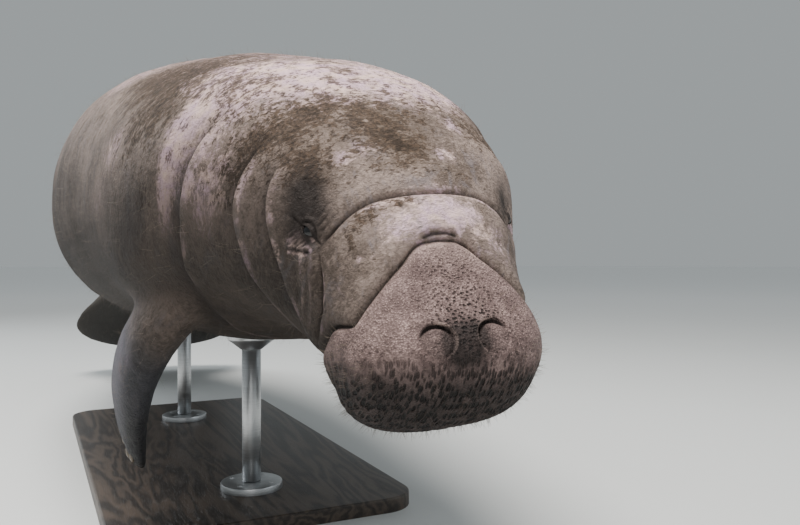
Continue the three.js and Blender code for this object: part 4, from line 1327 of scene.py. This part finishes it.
def scatter(mesh, count, density, seed):
    """Random roots on a mesh by density per point: places, normals, corner maps, and the markings and painted
    shade there.
    """
    mesh.calc_loop_triangles()
    triangles = np.empty(len(mesh.loop_triangles) * 3, np.int32)
    corners = np.empty(len(mesh.loop_triangles) * 3, np.int32)
    mesh.loop_triangles.foreach_get("vertices", triangles)
    mesh.loop_triangles.foreach_get("loops", corners)
    triangles, corners = triangles.reshape(-1, 3), corners.reshape(-1, 3)
    places = point_places(mesh)
    normals = np.empty(len(mesh.vertices) * 3, np.float32)
    mesh.vertex_normals.foreach_get("vector", normals)
    normals = normals.reshape(-1, 3)
    maps = np.empty(len(mesh.loops) * 2, np.float32)
    mesh.uv_layers[UV_NAME].data.foreach_get("uv", maps)
    maps = maps.reshape(-1, 2)
    a, b, c = (places[triangles[:, k]] for k in range(3))
    area = 0.5 * np.linalg.norm(np.cross(b - a, c - a), axis=1)
    weight = area * density[triangles].mean(1)
    rng = np.random.default_rng(seed)
    chosen = rng.choice(len(triangles), count, p=weight / weight.sum())
    share = rng.dirichlet((1, 1, 1), count)[..., None]

    def spread(values, index):
        return (values[index[chosen]] * share).sum(1)

    # hairs are darker among algae, on the lip edge and where the skin has painted shade
    tone = 0.6 * point_values(mesh, "algae") + 0.5 * point_values(mesh, "dark") + point_values(mesh, "lip")
    tone = np.clip(tone, 0, 1)
    return {
        "rng": rng,
        "place": spread(places, triangles),
        "normal": unit(spread(normals, triangles)),
        "map": spread(maps, corners),
        "tone": spread(tone[:, None], triangles)[:, 0],
        "at": spread(flow_values(mesh), triangles)[:, 0] / MM,
    }


def strands(name, roots, length, radius, lean, bend, material):
    """One joined mesh of hairs on these roots. lean and bend are shares of the way towards the tail."""
    rng, count = roots["rng"], len(roots["place"])
    shape = strand_shape()
    bm = bmesh.new()
    for _ in range(count):
        bm.from_mesh(shape)
    mesh = bpy.data.meshes.new(name)
    bm.to_mesh(mesh)
    bm.free()
    unit_places = point_places(shape)
    corners = np.empty(len(shape.loops), np.int32)
    shape.loops.foreach_get("vertex_index", corners)
    _, _, _, back = spine_frame(roots["at"])
    normal = roots["normal"]
    lie = unit(back - normal * np.sum(back * normal, axis=1)[:, None] + 0.35 * rng.normal(size=(count, 3)))
    way = unit(normal + lean * lie + 0.16 * rng.normal(size=(count, 3)))
    first = unit(np.cross(way, lie))
    second = np.cross(way, first)
    x, y, z = unit_places.T
    long = (length * rng.uniform(0.55, 1.15, count))[:, None, None]
    thick = (radius * rng.uniform(0.75, 1.2, count))[:, None, None]
    places = roots["place"][:, None] - 0.0008 * normal[:, None]
    places = places + thick * (first[:, None] * x[:, None] + second[:, None] * y[:, None])
    places = places + long * (way[:, None] * z[:, None] + bend * lie[:, None] * z[:, None] ** 2)
    mesh.vertices.foreach_set("co", places.reshape(-1))
    patch = np.stack([0.0012 * x, 0.0026 * (z - 0.5)], -1)[corners]
    maps = roots["map"][:, None] + patch
    mesh.uv_layers.new(name=UV_NAME).data.foreach_set("uv", maps.reshape(-1))
    tone = np.repeat(roots["tone"], len(unit_places))
    mesh.attributes.new("tone", "FLOAT", "POINT").data.foreach_set("value", tone)
    mesh.update()
    mesh.shade_smooth()
    bpy.data.meshes.remove(shape)
    return place_piece(linked_object(name, mesh), [], [material])


# The stand.
BASE_SIZE = (580.0, 1180.0, 28.0)
BASE_CORNER = 70.0
ROD_RADIUS, FOOT_RADIUS, FOOT_THICK = 19.0, 62.0, 14.0
SADDLE_RADIUS, SADDLE_HEIGHT, SADDLE_UNDER = 48.0, 36.0, 14.0
RODS_AT = {"front": 900.0, "rear": 1640.0}
GAP = 0.3
PAD_THICK = 1.2  # how far the rubber stands out round a saddle
SCREW_COUNT, SCREW_CIRCLE = 4, 0.72 * FOOT_RADIUS
SCREW_RADIUS, SCREW_TOP_RADIUS, SCREW_THICK = 5.5, 5.0, 1.6
SOCKET_RIM, SOCKET_DEPTH = 2.2, 0.9


def base_piece(stand):
    bm = bmesh.new()
    bmesh.ops.create_cube(bm, size=1)
    bmesh.ops.scale(bm, vec=Vector(BASE_SIZE) * MM, verts=bm.verts)
    bmesh.ops.translate(bm, vec=(0, 0, BASE_SIZE[2] / 2 * MM), verts=bm.verts)
    upright = [e for e in bm.edges if abs(e.verts[0].co.z - e.verts[1].co.z) > BASE_SIZE[2] / 2 * MM]
    soft = {"affect": "EDGES", "profile": 0.5, "material": -1}
    bmesh.ops.bevel(bm, geom=upright, offset=BASE_CORNER * MM, segments=16, **soft)
    top = (BASE_SIZE[2] - 0.01) * MM
    level = [e for e in bm.edges if min(v.co.z for v in e.verts) > top and e.is_manifold]
    bmesh.ops.bevel(bm, geom=level, offset=stand.edge, segments=4, **soft)
    return mesh_piece("display_board", bm, ["stand_base"], board_material(stand), math.radians(40))


def turned(bm, profile, y):
    """Adds a closed form to bm by turning a profile of (radius, height) about a vertical line."""
    corners = [bm.verts.new((r * MM, y * MM, z * MM)) for r, z in profile]
    edges = [bm.edges.new(pair) for pair in zip(corners, corners[1:])]
    turn = {"axis": (0, 0, 1), "cent": (0, y * MM, 0), "angle": 2 * math.pi, "steps": 72, "use_merge": True}
    bmesh.ops.spin(bm, geom=[*corners, *edges], **turn)
    bmesh.ops.remove_doubles(bm, verts=bm.verts, dist=0.005 * MM)


def rod_pieces(name, at, stand):
    centre, _, _, _ = spine_frame(at)
    y = float(centre[1])
    belly = float(skin_surface(np.array([at]), np.array([-math.pi / 2]))[0][0, 2])
    low = BASE_SIZE[2] + GAP
    rod_from = low + FOOT_THICK + GAP
    rod_to = belly - SADDLE_HEIGHT
    steel, soft = steel_material(stand), 1.2
    bm = bmesh.new()
    top = low + FOOT_THICK
    turned(bm, ((0, low), (FOOT_RADIUS, low), (FOOT_RADIUS, top - 3), (FOOT_RADIUS - 0.9, top - 0.9)), y)
    turned(bm, ((FOOT_RADIUS - 0.9, top - 0.9), (FOOT_RADIUS - 3, top), (ROD_RADIUS + 8, top), (0, top)), y)
    bmesh.ops.remove_doubles(bm, verts=bm.verts, dist=0.005 * MM)
    mesh_piece(f"foot_{name}", bm, [f"stand_foot_{name}"], steel, math.radians(35))
    bm = bmesh.new()
    shaft = (0, rod_from), (ROD_RADIUS - soft, rod_from), (ROD_RADIUS, rod_from + soft)
    turned(bm, (*shaft, (ROD_RADIUS, rod_to - soft), (ROD_RADIUS - soft, rod_to), (0, rod_to)), y)
    mesh_piece(f"rod_{name}", bm, [f"stand_rod_{name}"], steel, math.radians(50))
    bm = bmesh.new()
    neck = rod_to + GAP
    rim = belly - SADDLE_UNDER
    cone = (0, neck), (ROD_RADIUS + 3, neck), (ROD_RADIUS + 5, neck + 2), (SADDLE_RADIUS - 1, rim - 2)
    turned(bm, (*cone, (SADDLE_RADIUS, rim), (SADDLE_RADIUS, belly + 6), (0, belly + 6)), y)
    mesh_piece(f"saddle_{name}", bm, [f"stand_saddle_{name}"], steel, math.radians(35))
    bm = bmesh.new()
    pad = SADDLE_RADIUS + PAD_THICK
    pad_foot = pad - 3, belly - 5
    turned(bm, (pad_foot, (pad, belly - 4), (pad, belly + 7), (pad - 3, belly + 7), pad_foot), y)
    mesh_piece(f"saddle_pad_{name}", bm, [], rubber_material(), math.radians(35))
    screw_piece(name, y, top, steel)


def screw_piece(name, y, top, steel):
    """Four flush screws with round sockets hold each foot."""
    bm = bmesh.new()
    for i in range(SCREW_COUNT):
        turned_by = math.radians(45 + 90 * i)
        centre = Vector((SCREW_CIRCLE * math.cos(turned_by), SCREW_CIRCLE * math.sin(turned_by) + y, top))
        made = bmesh.ops.create_cone(
            bm, cap_ends=True, segments=36, radius1=SCREW_RADIUS * MM, radius2=SCREW_TOP_RADIUS * MM,
            depth=SCREW_THICK * MM, matrix=Matrix.Translation(centre * MM),
        )
        cap = max((f for v in made["verts"] for f in v.link_faces), key=lambda f: f.calc_center_median().z)
        bmesh.ops.inset_individual(bm, faces=[cap], thickness=SOCKET_RIM * MM, depth=0)
        bmesh.ops.inset_individual(bm, faces=[cap], thickness=0.2 * MM, depth=-SOCKET_DEPTH * MM)
    mesh_piece(f"screws_{name}", bm, [], steel, math.radians(30))


# The add-on: settings, one operator for each piece or group of like pieces, and the panel.


def colour_setting(name, description, value):
    return bpy.props.FloatVectorProperty(
        name=name, description=description, default=value, size=3, min=0, max=1, subtype="COLOR"
    )


def length_setting(name, description, value):
    return bpy.props.FloatProperty(
        name=name, description=description, default=value, min=0, unit="LENGTH", precision=4
    )


class ManateeLook(bpy.types.PropertyGroup):
    """Colours of the animal."""

    hide_light: colour_setting("Hide, light", "Clean grey skin where it is palest", (0.365, 0.278, 0.24))
    hide_dark: colour_setting("Hide, dark", "Clean grey skin where it is darkest", (0.125, 0.093, 0.076))
    lavender: colour_setting("Lavender", "Faint cool streaks of the flanks", (0.25, 0.225, 0.25))
    # also the painted highlights along the edges of rolls and creases
    pale: colour_setting("Scuffs", "Pale scuffed skin and scars", (0.88, 0.64, 0.565))
    lavender_pale: colour_setting("Scuffs, cool", "Cooler parts of the scuffed skin", (0.76, 0.53, 0.63))
    algae_light: colour_setting("Algae film", "Thin film of algae", (0.19, 0.135, 0.095))
    algae: colour_setting("Algae", "Streaks of brown algae", (0.105, 0.064, 0.038))
    algae_dark: colour_setting("Algae, dark", "Clumps of algae and cracks", (0.028, 0.019, 0.013))
    muzzle_light: colour_setting("Lip pad, light", "Pinkish skin round the hair pits", (0.36, 0.25, 0.232))
    muzzle_dark: colour_setting("Lip pad, dark", "Darker cells of the lip pad", (0.14, 0.094, 0.088))
    net: colour_setting("Lip pad, pits", "Dark hair pits of the lip pad", (0.03, 0.02, 0.018))
    lip: colour_setting("Lip edge", "Dark slits of the lower lip pad", (0.013, 0.0115, 0.011))
    flipper_light: colour_setting("Flipper, light", "Bluish skin of the flippers", (0.088, 0.1, 0.135))
    flipper_dark: colour_setting("Flipper, dark", "Darker skin of the flippers", (0.034, 0.034, 0.036))
    tail: colour_setting("Tail", "Greenish grey of the tail", (0.07, 0.075, 0.065))
    # painted shade towards the belly and over the flippers' shaded faces
    under: colour_setting("Underside", "How far the skin darkens towards the belly", (0.085, 0.086, 0.08))
    # painted shade in folds, creases, grooves and sockets
    shade: colour_setting("Folds", "Bottoms of folds and eye sockets", (0.016, 0.012, 0.011))
    iris_light: colour_setting("Iris, light", "Threads of the iris", (0.022, 0.014, 0.009))
    iris_dark: colour_setting("Iris, dark", "Ground of the iris", (0.006, 0.0045, 0.004))
    nail_light: colour_setting("Nail, light", "Worn horn", (0.17, 0.135, 0.09))
    nail_dark: colour_setting("Nail, dark", "Stained horn", (0.07, 0.052, 0.036))
    hair: colour_setting("Hair, light", "Fine hairs of the body", (0.24, 0.19, 0.145))
    # also for hairs in the skin's painted shade
    hair_dark: colour_setting("Hair, dark", "Hairs among algae", (0.06, 0.043, 0.03))


class ManateeNails(bpy.types.PropertyGroup):
    """Sizes of the nails at the flippers' tips."""

    nail_length: length_setting("Nail length", "From root to tip", 0.020)
    nail_width: length_setting("Nail width", "Across the nail", 0.015)
    nail_thickness: length_setting("Nail thickness", "At the middle", 0.007)


class ManateeHairs(bpy.types.PropertyGroup):
    """How many hairs there are and how long."""

    body_count: bpy.props.IntProperty(name="Body hairs", description="Single fine hairs", default=4600, min=1)
    body_length: length_setting("Body hair length", "Longest hairs of the back", 0.018)
    body_radius: length_setting("Body hair radius", "At the root", 0.00013)
    bristle_count: bpy.props.IntProperty(
        name="Bristles", description="Stiff hairs of the lips", default=1150, min=1
    )
    bristle_length: length_setting("Bristle length", "Longest bristles of the lips", 0.0115)
    bristle_radius: length_setting("Bristle radius", "At the root", 0.0002)


class ManateeStand(bpy.types.PropertyGroup):
    """Finish of the display stand."""

    edge: length_setting("Board edge", "How far the board's upper edge is rounded", 0.004)
    board: colour_setting("Board", "Stained wood", (0.085, 0.062, 0.047))
    board_dark: colour_setting("Board, dark", "Grain of the wood", (0.022, 0.016, 0.013))
    steel: colour_setting("Steel", "Brushed steel", (0.62, 0.63, 0.64))
    steel_dark: colour_setting("Steel, dark", "Brush marks", (0.40, 0.41, 0.42))


class ManateeStage(bpy.types.PropertyGroup):
    """Floor and light."""

    floor: colour_setting("Floor", "Plain pale floor", (0.72, 0.73, 0.72))
    # painted light, paler towards the horizon
    floor_far_painted_light: colour_setting("Floor, far", "The floor towards the horizon", (0.95, 0.96, 0.96))
    sky: colour_setting("Room", "Light from the room", (0.80, 0.86, 0.88))
    sky_strength: bpy.props.FloatProperty(
        name="Room strength", description="Light from all round", default=0.45
    )
    key_power: bpy.props.FloatProperty(
        name="Key light", description="Light from above", default=320, unit="POWER"
    )


class PieceOperator:
    bl_options = {"REGISTER", "UNDO"}

    def execute(self, context):
        self.build(context.scene)
        return {"FINISHED"}


class MANATEE_OT_skin(PieceOperator, bpy.types.Operator):
    """Builds the skin of the body and flippers in one surface"""

    bl_idname = "manatee.skin"
    bl_label = "Skin"

    def build(self, scene):
        place_piece(joined_skin(), FLESH, [hide_material(scene.manatee_look)])


class MANATEE_OT_eyes(PieceOperator, bpy.types.Operator):
    """Builds both eyes between their lids"""

    bl_idname = "manatee.eyes"
    bl_label = "Eyes"

    def build(self, scene):
        for side in (LEFT, RIGHT):
            eye_piece(side, scene.manatee_look)


class MANATEE_OT_nails(PieceOperator, bpy.types.Operator):
    """Builds four nails at the tip of each flipper"""

    bl_idname = "manatee.nails"
    bl_label = "Nails"

    def build(self, scene):
        for side in (LEFT, RIGHT):
            nail_pieces(side, scene.manatee_look, scene.manatee_nails)


class MANATEE_OT_body_hairs(PieceOperator, bpy.types.Operator):
    """Scatters fine single hairs over the body"""

    bl_idname = "manatee.body_hairs"
    bl_label = "Body hairs"

    def build(self, scene):
        look, hairs = scene.manatee_look, scene.manatee_hairs
        mesh = skin_piece().data
        bare = np.maximum(point_values(mesh, "muzzle"), smooth(point_values(mesh, "dark"), 0.2, 0.5))
        roots = scatter(mesh, hairs.body_count, 1 - bare + 1e-6, 21)
        material = hair_material("body_hair", look.hair, look.hair_dark)
        strands("body_hair", roots, hairs.body_length, hairs.body_radius, 0.7, 0.35, material)


class MANATEE_OT_bristles(PieceOperator, bpy.types.Operator):
    """Scatters stiff bristles over the lip pad, closest at its sides and lower edge"""

    bl_idname = "manatee.bristles"
    bl_label = "Bristles"

    def build(self, scene):
        look, hairs = scene.manatee_look, scene.manatee_hairs
        mesh = skin_piece().data
        muzzle, dark = point_values(mesh, "muzzle"), point_values(mesh, "dark")
        at = flow_values(mesh)[:, 0] / MM
        share = 0.15 + 0.85 * smooth(at, 10, 45) + 1.2 * point_values(mesh, "lip")
        density = muzzle * (1 - smooth(dark, 0.2, 0.5)) * share
        roots = scatter(mesh, hairs.bristle_count, density + 1e-9, 22)
        material = hair_material("bristle", look.hair, look.hair_dark)
        strands("bristles", roots, hairs.bristle_length, hairs.bristle_radius, 0.15, 0.1, material)


class MANATEE_OT_stand(PieceOperator, bpy.types.Operator):
    """Builds the board, both rods with their feet and saddles, and the screws"""

    bl_idname = "manatee.stand"
    bl_label = "Stand"

    def build(self, scene):
        base_piece(scene.manatee_stand)
        for name, at in RODS_AT.items():
            rod_pieces(name, at, scene.manatee_stand)


# The camera, in metres and degrees.
CAMERA_PLACE = (-0.40935, -1.92843, 0.49723)
CAMERA_TURN = (89.567, 0.0, -26.0057)
CAMERA_LENS = 34.404
LIGHTS = {  # place, size, share of the key light's power, colour
    "key": ((-0.9, -1.3, 4.2), 2.2, 1.0, (1.0, 0.97, 0.93)),
    "front": ((-1.2, -4.2, 1.9), 2.0, 0.06, (1.0, 0.98, 0.96)),
    "fill": ((3.0, -2.4, 2.0), 2.4, 0.05, (0.86, 0.95, 1.0)),
    "back": ((-2.2, 3.2, 2.6), 2.4, 0.22, (0.9, 0.96, 1.0)),
}
LIGHT_AIM = Vector((0.0, -0.5, 0.55))
FLOOR_RADIUS = 40.0


class MANATEE_OT_stage(PieceOperator, bpy.types.Operator):
    """Builds the floor, the lights and the camera"""

    bl_idname = "manatee.stage"
    bl_label = "Stage"

    def build(self, scene):
        stage = scene.manatee_stage
        bm = bmesh.new()
        bmesh.ops.create_circle(bm, cap_ends=True, radius=FLOOR_RADIUS, segments=96)
        mesh = bpy.data.meshes.new("floor")
        bm.to_mesh(mesh)
        bm.free()
        floor = linked_object("floor", mesh)
        mesh.materials.append(floor_material(stage))
        for name, (place, size, share, colour) in LIGHTS.items():
            light = bpy.data.lights.new(name, "AREA")
            light.shape, light.size = "DISK", size
            light.energy, light.color = share * stage.key_power, colour
            lamp = linked_object(name, light)
            lamp.location = place
            lamp.rotation_euler = (LIGHT_AIM - Vector(place)).to_track_quat("-Z", "Y").to_euler()
        world = bpy.data.worlds.new("room")
        world.use_nodes = True
        background = world.node_tree.nodes["Background"]
        background.inputs["Color"].default_value = (*stage.sky, 1)
        background.inputs["Strength"].default_value = stage.sky_strength
        scene.world = world
        camera = bpy.data.objects.new("camera", bpy.data.cameras.new("camera"))
        scene.collection.objects.link(camera)
        camera.location = CAMERA_PLACE
        camera.rotation_euler = [math.radians(a) for a in CAMERA_TURN]
        camera.data.lens = CAMERA_LENS
        camera.data.clip_end = 200
        scene.camera = camera


SETTINGS = {
    "manatee_look": ManateeLook,
    "manatee_nails": ManateeNails,
    "manatee_hairs": ManateeHairs,
    "manatee_stand": ManateeStand,
    "manatee_stage": ManateeStage,
}
OPERATORS = (
    MANATEE_OT_skin,
    MANATEE_OT_eyes,
    MANATEE_OT_nails,
    MANATEE_OT_body_hairs,
    MANATEE_OT_bristles,
    MANATEE_OT_stand,
    MANATEE_OT_stage,
)


class MANATEE_PT_panel(bpy.types.Panel):
    """The manatee's pieces and their settings"""

    bl_label = "Manatee"
    bl_idname = "MANATEE_PT_panel"
    bl_space_type = "VIEW_3D"
    bl_region_type = "UI"
    bl_category = "Manatee"

    def draw(self, context):
        for operator in OPERATORS:
            self.layout.operator(operator.bl_idname)
        for key, group in SETTINGS.items():
            box = self.layout.box()
            box.label(text=group.__doc__)
            for setting in group.__annotations__:
                box.prop(getattr(context.scene, key), setting)


def register():
    for made in (*SETTINGS.values(), *OPERATORS, MANATEE_PT_panel):
        bpy.utils.register_class(made)
    for key, group in SETTINGS.items():
        setattr(bpy.types.Scene, key, bpy.props.PointerProperty(type=group))


def unregister():
    for key in SETTINGS:
        delattr(bpy.types.Scene, key)
    for made in (MANATEE_PT_panel, *reversed(OPERATORS), *SETTINGS.values()):
        bpy.utils.unregister_class(made)


def main():
    register()
    for operator in OPERATORS:
        group, name = operator.bl_idname.split(".")
        getattr(getattr(bpy.ops, group), name)()


if __name__ == "__main__":
    main()
